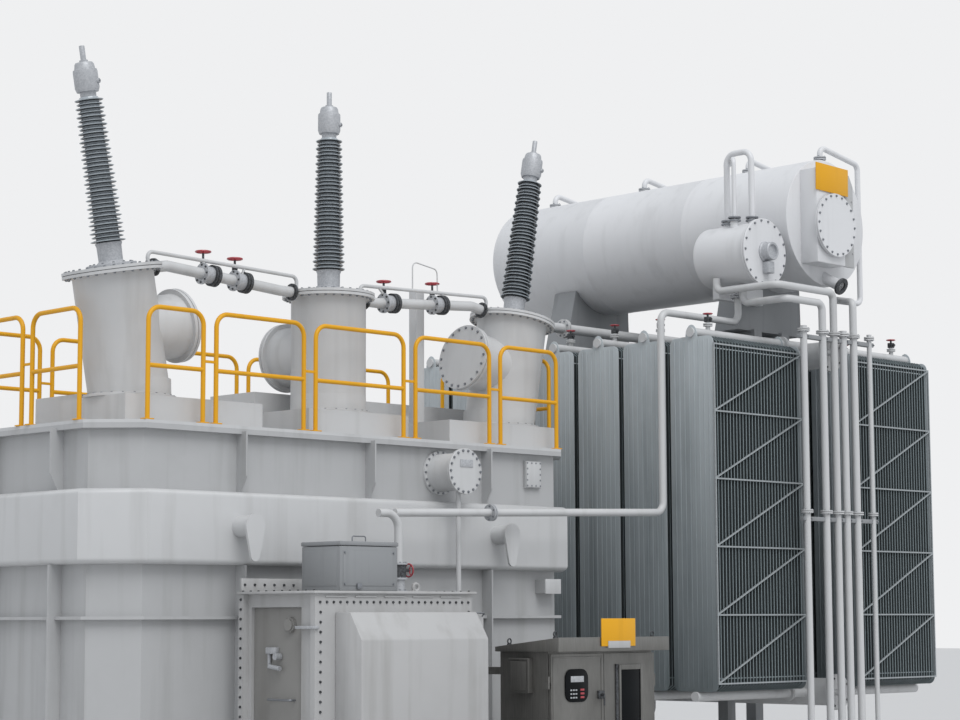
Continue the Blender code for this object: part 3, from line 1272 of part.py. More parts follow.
def make_kiosk_roof():
    """The sloping roof, deeper at its front edge."""
    low = KIOSK_Z[1] + GAP
    front = KIOSK_Y[0] - ROOF_FRONT_REACH
    back = KIOSK_Y[1] + ROOF_BACK_REACH
    outline = [(front, low), (back, low), (back, low + ROOF_BACK_HIGH), (front, low + ROOF_FRONT_HIGH)]
    middle = (KIOSK_X[0] + KIOSK_X[1]) / 2
    width = KIOSK_X[1] - KIOSK_X[0] + 2 * ROOF_SIDE_REACH
    return plate("kiosk_roof", outline, (middle, 0, 0), (0, 1, 0), (0, 0, 1), width, STEEL)


def make_door(side, name):
    """One leaf of the kiosk's doors, carried by an empty on its hinge line."""
    axis_x, axis_y = hinge_axis(side)
    middle = (KIOSK_X[0] + KIOSK_X[1]) / 2
    outer = (KIOSK_X[0] if side < 0 else KIOSK_X[1]) - side * DOOR_SIDE_INSET
    inner = middle + side * DOOR_GAP / 2
    back = KIOSK_Y[0] - DOOR_SEAL
    left, right = sorted((outer, inner))
    leaf = box(name, (left, back - DOOR_THICK, DOOR_LOW), (right, back, DOOR_HIGH), STEEL)
    half = KNUCKLE_LENGTH / 2
    strap_half = KNUCKLE_RADIUS / 2
    for height in HINGE_HEIGHTS:
        pin = rod(f"{name}_knuckle_tool_{height}", (axis_x, axis_y, height - half),
                  (axis_x, axis_y, height + half), KNUCKLE_RADIUS, sides=6)
        strap_x = sorted((axis_x, outer - side * KNUCKLE_RADIUS))
        strap = box(f"{name}_strap_tool_{height}",
                    (strap_x[0], axis_y - strap_half, height - half + STRAP_TRIM),
                    (strap_x[1], axis_y + strap_half, height + half - STRAP_TRIM))
        fuse(leaf, pin, strap)
    hinge = add_empty(name + "_hinge", (axis_x, axis_y, (DOOR_LOW + DOOR_HIGH) / 2), ROOT)
    leaf.parent = hinge
    leaf.location -= hinge.location
    return leaf


def make_bank():
    for letter, ends in (("a", BANK_A), ("b", BANK_B)):
        for number in range(RAD_COUNT):
            make_radiator(number, letter, ends)
        make_brace(f"brace_front_{letter}", ends, RAD_FRONT, -1)
        make_brace(f"brace_back_{letter}", ends, RAD_BACK, 1)
    make_manifold("manifold_top", MANIFOLD_TOP_Z, RAD_TOP + HEADER_RADIUS + GAP)
    make_manifold("manifold_bottom", MANIFOLD_LOW_Z, RAD_BOTTOM - HEADER_RADIUS - GAP)
    make_bank_frame()
    make_conservator()
    make_small_conservator()


def make_all():
    make_skid()
    make_tank()
    make_girdle()
    make_cover()
    make_post()
    for place, letter in ((-1, "a"), (0, "b"), (1, "c")):
        make_turret(place, letter)
        make_bushing(place, letter)
    make_vent_pipe("vent_pipe_ab", -1, 0)
    make_vent_pipe("vent_pipe_bc", 0, 1)
    make_rails()
    make_front_drum()
    make_bank()
    make_risers()
    make_feed_pipe()
    make_oil_pipes()
    make_cable_box()
    make_hood()
    make_cable_roof()
    make_terminal_box()
    make_kiosk()
    make_kiosk_roof()
    make_door(-1, "kiosk_door_left")
    make_door(1, "kiosk_door_right")


make_all()
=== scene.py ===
# %% [markdown]
# # Power transformer
# A large oil-filled transformer: a welded steel tank with three ribbed bushings on
# leaning turrets, a bank of finned radiators beside it, and oil conservators above
# the bank. The solid model is loaded first and gives every place and size. Each
# following step then dresses one part of it with finer shapes and painted surfaces.

# %% Load the solid model
import json
import math
import bpy
import bmesh
from mathutils import Matrix, Vector


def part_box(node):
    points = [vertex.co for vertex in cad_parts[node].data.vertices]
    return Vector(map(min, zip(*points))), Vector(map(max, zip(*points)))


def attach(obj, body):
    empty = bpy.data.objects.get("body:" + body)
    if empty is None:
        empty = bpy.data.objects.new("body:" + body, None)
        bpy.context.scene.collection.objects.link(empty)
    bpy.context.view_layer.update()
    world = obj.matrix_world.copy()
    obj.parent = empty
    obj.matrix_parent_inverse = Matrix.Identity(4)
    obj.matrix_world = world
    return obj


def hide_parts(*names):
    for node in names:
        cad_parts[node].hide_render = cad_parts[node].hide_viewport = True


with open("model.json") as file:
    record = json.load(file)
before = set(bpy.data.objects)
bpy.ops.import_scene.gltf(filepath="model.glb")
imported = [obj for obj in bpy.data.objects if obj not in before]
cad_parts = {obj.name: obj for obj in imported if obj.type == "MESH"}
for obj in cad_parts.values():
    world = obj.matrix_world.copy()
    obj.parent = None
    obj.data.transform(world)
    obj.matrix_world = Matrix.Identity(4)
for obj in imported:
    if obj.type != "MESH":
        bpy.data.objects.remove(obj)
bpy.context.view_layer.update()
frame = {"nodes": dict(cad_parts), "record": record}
nodes = frame["nodes"]

# %% [markdown]
# The camera stands low in front of the tank's left end and looks along the whole
# machine through a long lens, which keeps upright edges almost parallel. It is
# turned by a heading, a tilt and a very small roll, one rotation after another.

# %% Camera
CAMERA_PLACE = Vector((-12.66, -15.071, 1.60))
CAMERA_HEADING = 0.786
CAMERA_TILT = 0.114
CAMERA_ROLL = -0.004

camera_data = bpy.data.cameras.new("camera")
camera_data.lens = 85
camera_data.sensor_width = 36
camera_data.clip_end = 300
camera = bpy.data.objects.new("camera", camera_data)
bpy.context.scene.collection.objects.link(camera)
camera.matrix_world = (Matrix.Translation(CAMERA_PLACE)
                       @ Matrix.Rotation(-CAMERA_HEADING, 4, 'Z')
                       @ Matrix.Rotation(math.pi / 2 + CAMERA_TILT, 4, 'X')
                       @ Matrix.Rotation(CAMERA_ROLL, 4, 'Z'))
bpy.context.scene.camera = camera
bpy.context.scene.view_settings.view_transform = 'Standard'
print("camera looks along", camera.matrix_world.to_3x3() @ Vector((0, 0, -1)))

# %% [markdown]
# Overcast daylight comes from everywhere, a little stronger from above. A plain
# world colour gives that, and one wide, weak sun gives the forms a lit side. The
# camera sees a paler world colour than the one that lights the object.

# %% World, sun and floor
SKY_SEEN = (0.865, 0.87, 0.88)
FLOOR_COLOUR = (0.56, 0.56, 0.56)
SKY_LIGHT = 0.75
SKY_TINT = (0.93, 0.96, 1.0)
SUN_STRENGTH = 1.45
SUN_WIDTH = math.radians(40)
SUN_TURN = (math.radians(38), math.radians(-6), math.radians(-12))
FLOOR_HALF = 90
FLOOR_DROP = 0.002

world = bpy.data.worlds.new("overcast")
bpy.context.scene.world = world
world.use_nodes = True
tree = world.node_tree
tree.nodes.clear()
seen = tree.nodes.new("ShaderNodeBackground")
seen.inputs["Color"].default_value = (*SKY_SEEN, 1)
lighting = tree.nodes.new("ShaderNodeBackground")
lighting.inputs["Color"].default_value = (*SKY_TINT, 1)
lighting.inputs["Strength"].default_value = SKY_LIGHT
rays = tree.nodes.new("ShaderNodeLightPath")
either = tree.nodes.new("ShaderNodeMixShader")
out = tree.nodes.new("ShaderNodeOutputWorld")
tree.links.new(rays.outputs["Is Camera Ray"], either.inputs["Fac"])
tree.links.new(lighting.outputs["Background"], either.inputs[1])
tree.links.new(seen.outputs["Background"], either.inputs[2])
tree.links.new(either.outputs["Shader"], out.inputs["Surface"])

sun_data = bpy.data.lights.new("soft_sun", 'SUN')
sun_data.energy = SUN_STRENGTH
sun_data.angle = SUN_WIDTH
sun = bpy.data.objects.new("soft_sun", sun_data)
bpy.context.scene.collection.objects.link(sun)
sun.rotation_euler = SUN_TURN

floor_bm = bmesh.new()
bmesh.ops.create_grid(floor_bm, x_segments=1, y_segments=1, size=FLOOR_HALF)
floor_mesh = bpy.data.meshes.new("floor")
floor_bm.to_mesh(floor_mesh)
floor_bm.free()
floor = bpy.data.objects.new("floor", floor_mesh)
floor.location.z = -FLOOR_DROP
bpy.context.scene.collection.objects.link(floor)
floor_paint = bpy.data.materials.new("floor")
floor_paint.use_nodes = True
floor_shader = floor_paint.node_tree.nodes["Principled BSDF"]
floor_shader.inputs["Base Color"].default_value = (*FLOOR_COLOUR, 1)
floor_shader.inputs["Roughness"].default_value = 0.9
floor_mesh.materials.append(floor_paint)
print("lit by a sky of", SKY_LIGHT, "and a sun of", SUN_STRENGTH)

# %% [markdown]
# Outdoor paint is never one flat colour. Rain leaves faint upright streaks, dust
# dulls the tops, the paint can grow darker towards the bottom, and the sprayed coat
# has a slight orange peel. One node group makes them all from Object coordinates, so
# every painted piece can share it with its own colours and amounts.

# %% Node group makers
GROUP_OUTPUTS = (("Color", 'NodeSocketColor'), ("Roughness", 'NodeSocketFloat'),
                 ("Height", 'NodeSocketFloat'))


def new_group(name, inputs):
    """A shader node group, whose inputs are (label, value) with a colour or a number."""
    group = bpy.data.node_groups.new(name, 'ShaderNodeTree')
    for label, value in inputs:
        kind = 'NodeSocketColor' if isinstance(value, tuple) else 'NodeSocketFloat'
        group.interface.new_socket(label, in_out='INPUT', socket_type=kind).default_value = value
    for label, kind in GROUP_OUTPUTS:
        group.interface.new_socket(label, in_out='OUTPUT', socket_type=kind)
    return group, group.nodes.new("NodeGroupInput").outputs, group.nodes.new("NodeGroupOutput").inputs


def feed(group, value, socket):
    """Link an output to a socket, or give the socket a plain value."""
    if hasattr(value, "is_output"):
        group.links.new(value, socket)
    else:
        socket.default_value = value


def object_place(group):
    return group.nodes.new("ShaderNodeTexCoord").outputs["Object"]


def upright_part(group, vector):
    """The Z part of a vector."""
    node = group.nodes.new("ShaderNodeSeparateXYZ")
    group.links.new(vector, node.inputs["Vector"])
    return node.outputs["Z"]


def noise(group, scale, stretch=(1, 1, 1), detail=3.0):
    """A noise texture on Object coordinates, stretched along the axes."""
    mapping = group.nodes.new("ShaderNodeMapping")
    mapping.inputs["Scale"].default_value = stretch
    texture = group.nodes.new("ShaderNodeTexNoise")
    texture.inputs["Scale"].default_value = scale
    texture.inputs["Detail"].default_value = detail
    group.links.new(object_place(group), mapping.inputs["Vector"])
    group.links.new(mapping.outputs["Vector"], texture.inputs["Vector"])
    return texture.outputs["Fac"]


def remap(group, value, low, high, to_low=0.0, to_high=1.0):
    """Stretch a band of values to a new range."""
    node = group.nodes.new("ShaderNodeMapRange")
    for label, number in (("From Min", low), ("From Max", high), ("To Min", to_low), ("To Max", to_high)):
        node.inputs[label].default_value = number
    group.links.new(value, node.inputs["Value"])
    return node.outputs["Result"]


def arithmetic(group, operation, first, second):
    node = group.nodes.new("ShaderNodeMath")
    node.operation = operation
    for socket, value in zip(node.inputs, (first, second)):
        feed(group, value, socket)
    return node.outputs["Value"]


def multiply(group, first, second):
    return arithmetic(group, 'MULTIPLY', first, second)


def add(group, first, second):
    return arithmetic(group, 'ADD', first, second)


def mix_colour(group, factor, first, second):
    node = group.nodes.new("ShaderNodeMix")
    node.data_type = 'RGBA'
    for socket, value in zip((node.inputs["Factor"], node.inputs[6], node.inputs[7]),
                             (factor, first, second)):
        feed(group, value, socket)
    return node.outputs[2]


# %% [markdown]
# The paint group mixes the paint with its dirt colour by a mask. Streaks, dust and a
# darkening towards the bottom are added up into that mask, and what the mask darkens
# is also less glossy.

# %% Weathered paint group
STREAK_SCALE = 7.0
STREAK_STRETCH = (1, 1, 0.07)
BLOTCH_SCALE = 5.0
BROAD_SCALE = 0.9
PEEL_SCALE = 160.0
DARKENING_STARTS = 4.2
DARKENING_FULL = 0.8
DIRT_DULLS = 0.5

WEATHER, given, shown = new_group("weathered_paint", (
    ("Paint", (0.6, 0.6, 0.6, 1)), ("Dirt", (0.2, 0.19, 0.17, 1)), ("Streaks", 0.3), ("Dust", 0.3),
    ("Gloss", 0.45), ("Low Darkening", 0.0)))
streaks = remap(WEATHER, noise(WEATHER, STREAK_SCALE, STREAK_STRETCH, 5.0), 0.52, 0.78)
streaks = multiply(WEATHER, streaks, given["Streaks"])
broad = remap(WEATHER, noise(WEATHER, BROAD_SCALE), 0.3, 0.7, 0.0, 0.35)
blotches = multiply(WEATHER, remap(WEATHER, noise(WEATHER, BLOTCH_SCALE), 0.45, 0.8), broad)
facing = WEATHER.nodes.new("ShaderNodeNewGeometry").outputs["Normal"]
upward = remap(WEATHER, upright_part(WEATHER, facing), 0.6, 1.0, 0.0, 0.5)
dust = multiply(WEATHER, add(WEATHER, upward, blotches), given["Dust"])
height = upright_part(WEATHER, object_place(WEATHER))
# darker towards the bottom: the mask grows from 4.2 m down to 0.8 m
low_darkening = multiply(WEATHER, remap(WEATHER, height, DARKENING_STARTS, DARKENING_FULL), given["Low Darkening"])
dirt_and_low_darkening = add(WEATHER, add(WEATHER, streaks, dust), low_darkening)
WEATHER.links.new(mix_colour(WEATHER, dirt_and_low_darkening, given["Paint"], given["Dirt"]), shown["Color"])
WEATHER.links.new(add(WEATHER, given["Gloss"], multiply(WEATHER, dirt_and_low_darkening, DIRT_DULLS)), shown["Roughness"])
WEATHER.links.new(noise(WEATHER, PEEL_SCALE, detail=1.0), shown["Height"])
print("group", WEATHER.name, "with", len(WEATHER.nodes), "nodes")

# %% [markdown]
# Brushed and galvanised steel both need a pattern that is much finer than paint's.
# Brushing draws long thin scratches, so that noise is stretched hard along one
# axis. Zinc shows a mosaic of crystals, which Voronoi cells imitate.

# %% Metal groups
SCRATCH_STRETCH = (90, 90, 1.2)
GRIME = (0.05, 0.048, 0.045, 1)
CRYSTAL_SCALE = 90
DULL_ZINC = (0.22, 0.24, 0.26, 1)

BRUSHED, given, shown = new_group("brushed_grain", (
    ("Metal", (0.5, 0.5, 0.5, 1)), ("Grain", 0.5), ("Gloss", 0.35)))
scratches = noise(BRUSHED, 6.0, SCRATCH_STRETCH, 4.0)
stains = remap(BRUSHED, noise(BRUSHED, 2.5, (1, 1, 0.5), 5.0), 0.35, 0.75, 0.0, 0.5)
darker = add(BRUSHED, remap(BRUSHED, scratches, 0.35, 0.7, 0.0, 0.4), stains)
darker = multiply(BRUSHED, darker, given["Grain"])
BRUSHED.links.new(mix_colour(BRUSHED, darker, given["Metal"], GRIME), shown["Color"])
BRUSHED.links.new(add(BRUSHED, given["Gloss"], multiply(BRUSHED, stains, 0.4)), shown["Roughness"])
BRUSHED.links.new(scratches, shown["Height"])

ZINC, given, shown = new_group("zinc_spangle", (("Metal", (0.5, 0.52, 0.54, 1)), ("Gloss", 0.45)))
crystals = ZINC.nodes.new("ShaderNodeTexVoronoi")
crystals.inputs["Scale"].default_value = CRYSTAL_SCALE
ZINC.links.new(object_place(ZINC), crystals.inputs["Vector"])
crystal = ZINC.nodes.new("ShaderNodeSeparateColor")
ZINC.links.new(crystals.outputs["Color"], crystal.inputs["Color"])
dulled = multiply(ZINC, crystal.outputs["Red"], 0.35)
rougher = multiply(ZINC, crystal.outputs["Green"], 0.15)
ZINC.links.new(mix_colour(ZINC, dulled, given["Metal"], DULL_ZINC), shown["Color"])
ZINC.links.new(add(ZINC, given["Gloss"], rougher), shown["Roughness"])
ZINC.links.new(noise(ZINC, 120.0), shown["Height"])
print("groups", BRUSHED.name, "and", ZINC.name)

# %% [markdown]
# Each finish is a Principled shader fed by one of the groups. Only the values that
# change over the surface come from the group; metal, coat, mirror and bump strength
# stay plain numbers on the shader.

# %% Finishes
def finish(name, group, values, metallic=0.0, coat=0.0, bump=0.05, mirror=0.5):
    made = bpy.data.materials.new(name)
    made.use_nodes = True
    tree = made.node_tree
    shader = tree.nodes["Principled BSDF"]
    shader.inputs["Metallic"].default_value = metallic
    shader.inputs["Coat Weight"].default_value = coat
    shader.inputs["Specular IOR Level"].default_value = mirror
    pattern = tree.nodes.new("ShaderNodeGroup")
    pattern.node_tree = group
    for label, value in values.items():
        pattern.inputs[label].default_value = (*value, 1) if isinstance(value, tuple) else value
    tree.links.new(pattern.outputs["Color"], shader.inputs["Base Color"])
    tree.links.new(pattern.outputs["Roughness"], shader.inputs["Roughness"])
    relief = tree.nodes.new("ShaderNodeBump")
    relief.inputs["Strength"].default_value = bump
    relief.inputs["Distance"].default_value = 0.001
    tree.links.new(pattern.outputs["Height"], relief.inputs["Height"])
    tree.links.new(relief.outputs["Normal"], shader.inputs["Normal"])
    return made


def painted(name, paint, dirt, streaks, dust, gloss, low_darkening=0.0, **shader):
    """A weathered paint: its own colour, the colour of its dirt, and how much of each effect."""
    return finish(name, WEATHER, {"Paint": paint, "Dirt": dirt, "Streaks": streaks, "Dust": dust,
                                  "Gloss": gloss, "Low Darkening": low_darkening}, **shader)


GREY = painted("grey_paint", (0.57, 0.575, 0.58), (0.20, 0.195, 0.18), 0.20, 0.25, 0.42)
# painted shade: a darker copy of the grey paint for the tank's walls, standing in for the shadow under the
# cover's rim; two small plates share it
TANK_SHADE_GREY = painted("tank_shade_paint", (0.45, 0.455, 0.46), (0.17, 0.165, 0.15), 0.24, 0.28, 0.42)
PALE = painted("conservator_paint", (0.70, 0.705, 0.72), (0.30, 0.30, 0.30), 0.18, 0.15, 0.36)
BOX_GREY = painted("cable_box_paint", (0.46, 0.46, 0.46), (0.17, 0.16, 0.14), 0.30, 0.35, 0.5)
DARK = painted("support_paint", (0.27, 0.28, 0.29), (0.12, 0.12, 0.12), 0.4, 0.3, 0.5)
# the radiators grow darker towards the bottom
RADIATOR = painted("radiator_paint", (0.46, 0.50, 0.52), (0.11, 0.135, 0.142), 0.3, 0.3, 0.42, low_darkening=0.8)
RADIATOR_EDGE = painted("radiator_edge_paint", (0.25, 0.30, 0.315), (0.12, 0.14, 0.15), 0.5, 0.35, 0.45)
# painted shade: a nearly black paint for the inner panels' cores, standing in for the shade in the narrow
# gaps between panels
RADIATOR_SHADE = painted("radiator_painted_shade", (0.055, 0.065, 0.068), (0.03, 0.035, 0.036), 0.3, 0.3, 0.6)
# painted shade: a dark paint for the sheet in the cable box's sunk left side
SUNK_SHADE = painted("sunk_shade_panel_paint", (0.26, 0.255, 0.245), (0.12, 0.11, 0.10), 0.3, 0.3, 0.5)
YELLOW = painted("safety_yellow_paint", (0.76, 0.375, 0.012), (0.33, 0.16, 0.02), 0.2, 0.2, 0.36, mirror=0.3)
RED = painted("handwheel_red_paint", (0.42, 0.045, 0.06), (0.1, 0.03, 0.03), 0.2, 0.3, 0.35, coat=0.3)
# painted shade: a nearly black glaze for the sheds' undersides
GLAZE_SHADE = painted("painted_shade_glaze", (0.030, 0.036, 0.042), (0.02, 0.02, 0.022), 0.2, 0.2, 0.35, mirror=0.3)
GLAZE = painted("blue_grey_glaze", (0.40, 0.44, 0.47), (0.09, 0.10, 0.11), 0.25, 0.3, 0.16,
                coat=0.8, bump=0.02)
GLASS = painted("dark_glass", (0.006, 0.007, 0.008), (0.016, 0.016, 0.016), 0.1, 0.2, 0.12,
                bump=0.0, mirror=0.1)
STEEL = finish("kiosk_steel", BRUSHED, {"Metal": (0.27, 0.265, 0.25), "Grain": 0.8, "Gloss": 0.34},
               metallic=0.7, bump=0.06)
CASTING = finish("cast_alloy", ZINC, {"Metal": (0.52, 0.53, 0.55), "Gloss": 0.42}, metallic=0.35, bump=0.1)
BOLT = finish("zinc_bolts", ZINC, {"Metal": (0.30, 0.31, 0.33), "Gloss": 0.4}, metallic=0.8, bump=0.1)
BLACK = finish("dark_iron", ZINC, {"Metal": (0.045, 0.045, 0.047), "Gloss": 0.45}, metallic=0.5, bump=0.1)
GALVANISED = finish("galvanised_bar", ZINC, {"Metal": (0.42, 0.45, 0.46), "Gloss": 0.42}, metallic=0.5)
print("finishes:", [made.name for made in bpy.data.materials])

# %% [markdown]
# Every solid first gets its finish by what it is made of. A solid whose shape is
# already right, such as the welded tank or the skid, simply keeps it.

# %% Finishes of the solids
FINISH_OF = {"grey_paint": GREY, "dark_grey_paint": DARK, "radiator_paint": RADIATOR, "porcelain": GLAZE,
             "yellow_paint": YELLOW, "brushed_steel": STEEL, "galvanised_bars": GALVANISED}
# the tank body's darker grey is painted shade from the cover's rim
OWN_FINISH = {"conservator": PALE, "small_conservator": PALE, "tank_body": TANK_SHADE_GREY,
              "cable_box": BOX_GREY, "cable_hood": BOX_GREY, "cable_roof": BOX_GREY}
for entry in frame["record"]["subparts"]:
    name = entry["node"]
    nodes[name].data.materials.clear()
    nodes[name].data.materials.append(OWN_FINISH.get(name, FINISH_OF[entry["material_slot"]]))
print("finished", len(nodes), "solids")

# %% [markdown]
# The dressing pieces need a few makers. The first closes a bmesh into an object that
# rides on the transformer, smooths its rounded faces and keeps corners crisp. Two more
# give the place that a turned or round shape stands on.

# %% Piece maker
SMOOTH_BELOW = math.radians(38)


def piece(name, shape, paint, body="transformer", slot="grey_paint", replaces=(), merge=0.0):
    """Close a bmesh into an object that rides on a body."""
    if merge:
        bmesh.ops.remove_doubles(shape, verts=shape.verts, dist=merge)
        bmesh.ops.recalc_face_normals(shape, faces=shape.faces)
    for face in shape.faces:
        face.smooth = True
    for edge in shape.edges:
        edge.smooth = len(edge.link_faces) != 2 or edge.calc_face_angle(0.0) < SMOOTH_BELOW
    mesh = bpy.data.meshes.new(name)
    shape.to_mesh(mesh)
    shape.free()
    mesh.materials.append(paint)
    obj = bpy.data.objects.new(name, mesh)
    bpy.context.scene.collection.objects.link(obj)
    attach(obj, body)
    if replaces:
        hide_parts(*replaces)
    return obj


def along(start, end):
    """A matrix that puts local Z along the way from start to end, with its zero at start."""
    start, end = Vector(start), Vector(end)
    return Matrix.Translation(start) @ (end - start).to_track_quat('Z', 'Y').to_matrix().to_4x4()


def facing_front(point):
    """A place whose local Z points to the front, along -Y."""
    return Matrix.Translation(point) @ Matrix.Rotation(math.pi / 2, 4, 'X')


# %% [markdown]
# Drums, flanges and insulators are turned: half an outline is spun about an axis.
# Straight round bars are plain cylinders, laid from one point to another.

# %% Turned and round shapes
def turn_profile(shape, profile, place, sides=48):
    """Turn (radius, height) pairs about the local Z of a place."""
    corners = [shape.verts.new((radius, 0, height)) for radius, height in profile]
    edges = [shape.edges.new(pair) for pair in zip(corners, corners[1:])]
    bmesh.ops.spin(shape, geom=corners + edges, cent=(0, 0, 0), axis=(0, 0, 1), angle=math.tau,
                   steps=sides, use_merge=True)
    fresh = set(corners) | {item for face in corners[1].link_faces for item in face.verts}
    grown = True
    while grown:
        more = {vert for item in fresh for edge in item.link_edges for vert in edge.verts} - fresh
        fresh |= more
        grown = bool(more)
    fresh = list(fresh)
    bmesh.ops.remove_doubles(shape, verts=fresh, dist=0.00003)
    fresh = [vert for vert in fresh if vert.is_valid]
    bmesh.ops.recalc_face_normals(shape, faces=list({face for vert in fresh for face in vert.link_faces}))
    bmesh.ops.transform(shape, matrix=place, verts=fresh)


def cylinder(shape, start, end, radius, sides=24):
    length = (Vector(end) - Vector(start)).length
    bmesh.ops.create_cone(shape, cap_ends=True, segments=sides, radius1=radius, radius2=radius, depth=length,
                          matrix=along(start, end) @ Matrix.Translation((0, 0, length / 2)))


def arc(centre, radius, start, sweep, steps):
    """Points on an arc of a flat drawing, from a start angle and over a sweep."""
    return [(centre[0] + radius * math.cos(start + sweep * step / steps),
             centre[1] + radius * math.sin(start + sweep * step / steps)) for step in range(steps + 1)]


def rounded_corners(low, high, radius):
    """The four corner arcs of a rounded rectangle, from the top right one on, anticlockwise."""
    middles = ((high[0] - radius, high[1] - radius), (low[0] + radius, high[1] - radius),
               (low[0] + radius, low[1] + radius), (high[0] - radius, low[1] + radius))
    return [arc(middle, radius, math.pi / 2 * quarter, math.pi / 2, 6)
            for quarter, middle in enumerate(middles)]


# %% [markdown]
# Folded sheet and welded plate have straight sides and slightly rounded edges. A cube
# or a flat outline gives the form, and one bevel rounds all of its edges.

# %% Boxed shapes
def soften(shape, verts, bevel):
    """Round every edge that touches some vertices."""
    edges = list({edge for vert in verts for edge in vert.link_edges})
    bmesh.ops.bevel(shape, geom=edges, offset=bevel, segments=2, affect='EDGES', profile=0.5,
                    material=-1, clamp_overlap=True)


def block(shape, low, high, bevel=0.0, place=Matrix.Identity(4)):
    """A box between two corners, with its edges rounded a little."""
    low, high = Vector(low), Vector(high)
    matrix = place @ Matrix.Translation((low + high) / 2) @ Matrix.Diagonal((*(high - low), 1))
    made = bmesh.ops.create_cube(shape, size=1.0, matrix=matrix)
    if bevel:
        soften(shape, made["verts"], bevel)


def block_piece(name, paint, blocks, **where):
    """A piece of blocks, each given by two corners and a bevel."""
    shape = bmesh.new()
    for low, high, bevel in blocks:
        block(shape, low, high, bevel)
    return piece(name, shape, paint, **where)


def prism(shape, points, way, bevel=0.0):
    """A flat outline of points, extruded by a vector, with its edges rounded a little."""
    face = shape.faces.new([shape.verts.new(point) for point in points])
    made = bmesh.ops.extrude_face_region(shape, geom=[face])["geom"]
    moved = [item for item in made if isinstance(item, bmesh.types.BMVert)]
    bmesh.ops.translate(shape, vec=way, verts=moved)
    fresh = list(face.verts) + moved
    bmesh.ops.recalc_face_normals(shape, faces=list({item for vert in fresh for item in vert.link_faces}))
    if bevel:
        soften(shape, fresh, bevel)


# %% [markdown]
# Hundreds of bolts hold the flanges and covers, so each has few faces: a washer of
# twelve sides under a head of six.

# %% Bolts
def bolt(shape, place, size):
    """A hexagon head on a washer, standing on the local XY plane of a place."""
    for sides, low_share, high_share, deep, lift in ((12, 1, 1, 0.25, 0.12), (6, 0.85, 0.80, 0.75, 0.55)):
        bmesh.ops.create_cone(shape, cap_ends=True, segments=sides, radius1=size * low_share,
                              radius2=size * high_share, depth=size * deep,
                              matrix=place @ Matrix.Translation((0, 0, size * lift)))


def bolt_ring(shape, centre, outward, radius, count, size, start=0.0):
    """Bolts on a circle, their heads towards the outward direction."""
    seat = along(centre, Vector(centre) + Vector(outward))
    for number in range(count):
        angle = start + math.tau * number / count
        bolt(shape, seat @ Matrix.Translation((radius * math.cos(angle), radius * math.sin(angle), 0)), size)


def bolt_row(shape, first, last, outward, count, size):
    """Evenly spaced bolts from one point to another."""
    for number in range(count):
        spot = Vector(first).lerp(Vector(last), number / (count - 1))
        bolt(shape, along(spot, spot + Vector(outward)), size)


def front_bolt(shape, spot, size):
    """A bolt whose head looks to the front."""
    bolt(shape, along(spot, Vector(spot) + Vector((0, -1, 0))), size)


# %% [markdown]
# Pipes and rails are bent from tube. A route of corner points gets an arc at each
# bend, a curve with a round bevel follows it, and its mesh is kept.

# %% Tubes
STRAIGHT_ENOUGH = math.radians(88)
BEND_STEPS = 8


def route_with_bends(points, bend):
    """A route's points, with an arc at each corner."""
    route = [Vector(points[0])]
    for before, corner, after in zip(points, points[1:], points[2:]):
        corner = Vector(corner)
        back = (Vector(before) - corner).normalized()
        ahead = (Vector(after) - corner).normalized()
        half = back.angle(ahead) / 2
        if half > STRAIGHT_ENOUGH:
            route.append(corner)
            continue
        centre = corner + (back + ahead).normalized() * bend / math.sin(half)
        first = corner + back * bend / math.tan(half) - centre
        last = corner + ahead * bend / math.tan(half) - centre
        sweep = first.angle(last)
        for step in range(BEND_STEPS + 1):
            share = step / BEND_STEPS
            route.append(centre + (first * math.sin((1 - share) * sweep)
                                   + last * math.sin(share * sweep)) / math.sin(sweep))
    return route + [Vector(points[-1])]


def tubes(name, routes, paint, slot="grey_paint", replaces=(), resolution=4):
    """Round tubes: each route is (points, radius, bend radius)."""
    curve = bpy.data.curves.new(name, 'CURVE')
    curve.dimensions = '3D'
    curve.bevel_depth = 1.0
    curve.bevel_resolution = resolution
    curve.use_fill_caps = True
    for points, radius, bend in routes:
        path = route_with_bends(points, bend) if bend else [Vector(point) for point in points]
        spline = curve.splines.new('POLY')
        spline.points.add(len(path) - 1)
        for point, place in zip(spline.points, path):
            point.co = (*place, 1)
            point.radius = radius
    guide = bpy.data.objects.new(name, curve)
    bpy.context.scene.collection.objects.link(guide)
    bpy.context.view_layer.update()
    mesh = bpy.data.meshes.new_from_object(guide.evaluated_get(bpy.context.evaluated_depsgraph_get()))
    bpy.data.objects.remove(guide, do_unlink=True)
    shape = bmesh.new()
    shape.from_mesh(mesh)
    bpy.data.meshes.remove(mesh)
    return piece(name, shape, paint, slot=slot, replaces=replaces, merge=0.00002)


print("makers ready")

# %% [markdown]
# The wide belt round the tank is a folded box section with soft corners. An
# octagon is extruded, its level edges get a round bevel of several segments, and
# the trunnion plates that take the lifting slings are added on short posts. A plate
# is drop-shaped: a large arc round the post, and a small one at its lower end.

# %% Belt and trunnions
girdle_low, girdle_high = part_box("tank_girdle")
BELT_HALF = Vector((2.70, 1.20))
BELT_CHAMFER = 0.37
BELT_ROUND = 0.045
TRUNNION_X = 1.43
TRUNNION_Z = 2.33
PLATE_OUT = 1.369
PLATE_THICK = 0.022
PLATE_HEAD = 0.095
PLATE_TAIL = 0.045
PLATE_DROP = 0.23


def octagon(half_x, half_y, chamfer):
    return [(half_x, chamfer - half_y), (half_x, half_y - chamfer), (half_x - chamfer, half_y),
            (chamfer - half_x, half_y), (-half_x, half_y - chamfer), (-half_x, chamfer - half_y),
            (chamfer - half_x, -half_y), (half_x - chamfer, -half_y)]


def drop_outline():
    spread = math.asin((PLATE_HEAD - PLATE_TAIL) / PLATE_DROP)
    return (arc((0, 0), PLATE_HEAD, -spread, math.pi + 2 * spread, 24)
            + arc((0, -PLATE_DROP), PLATE_TAIL, math.pi + spread, math.pi - 2 * spread, 12))


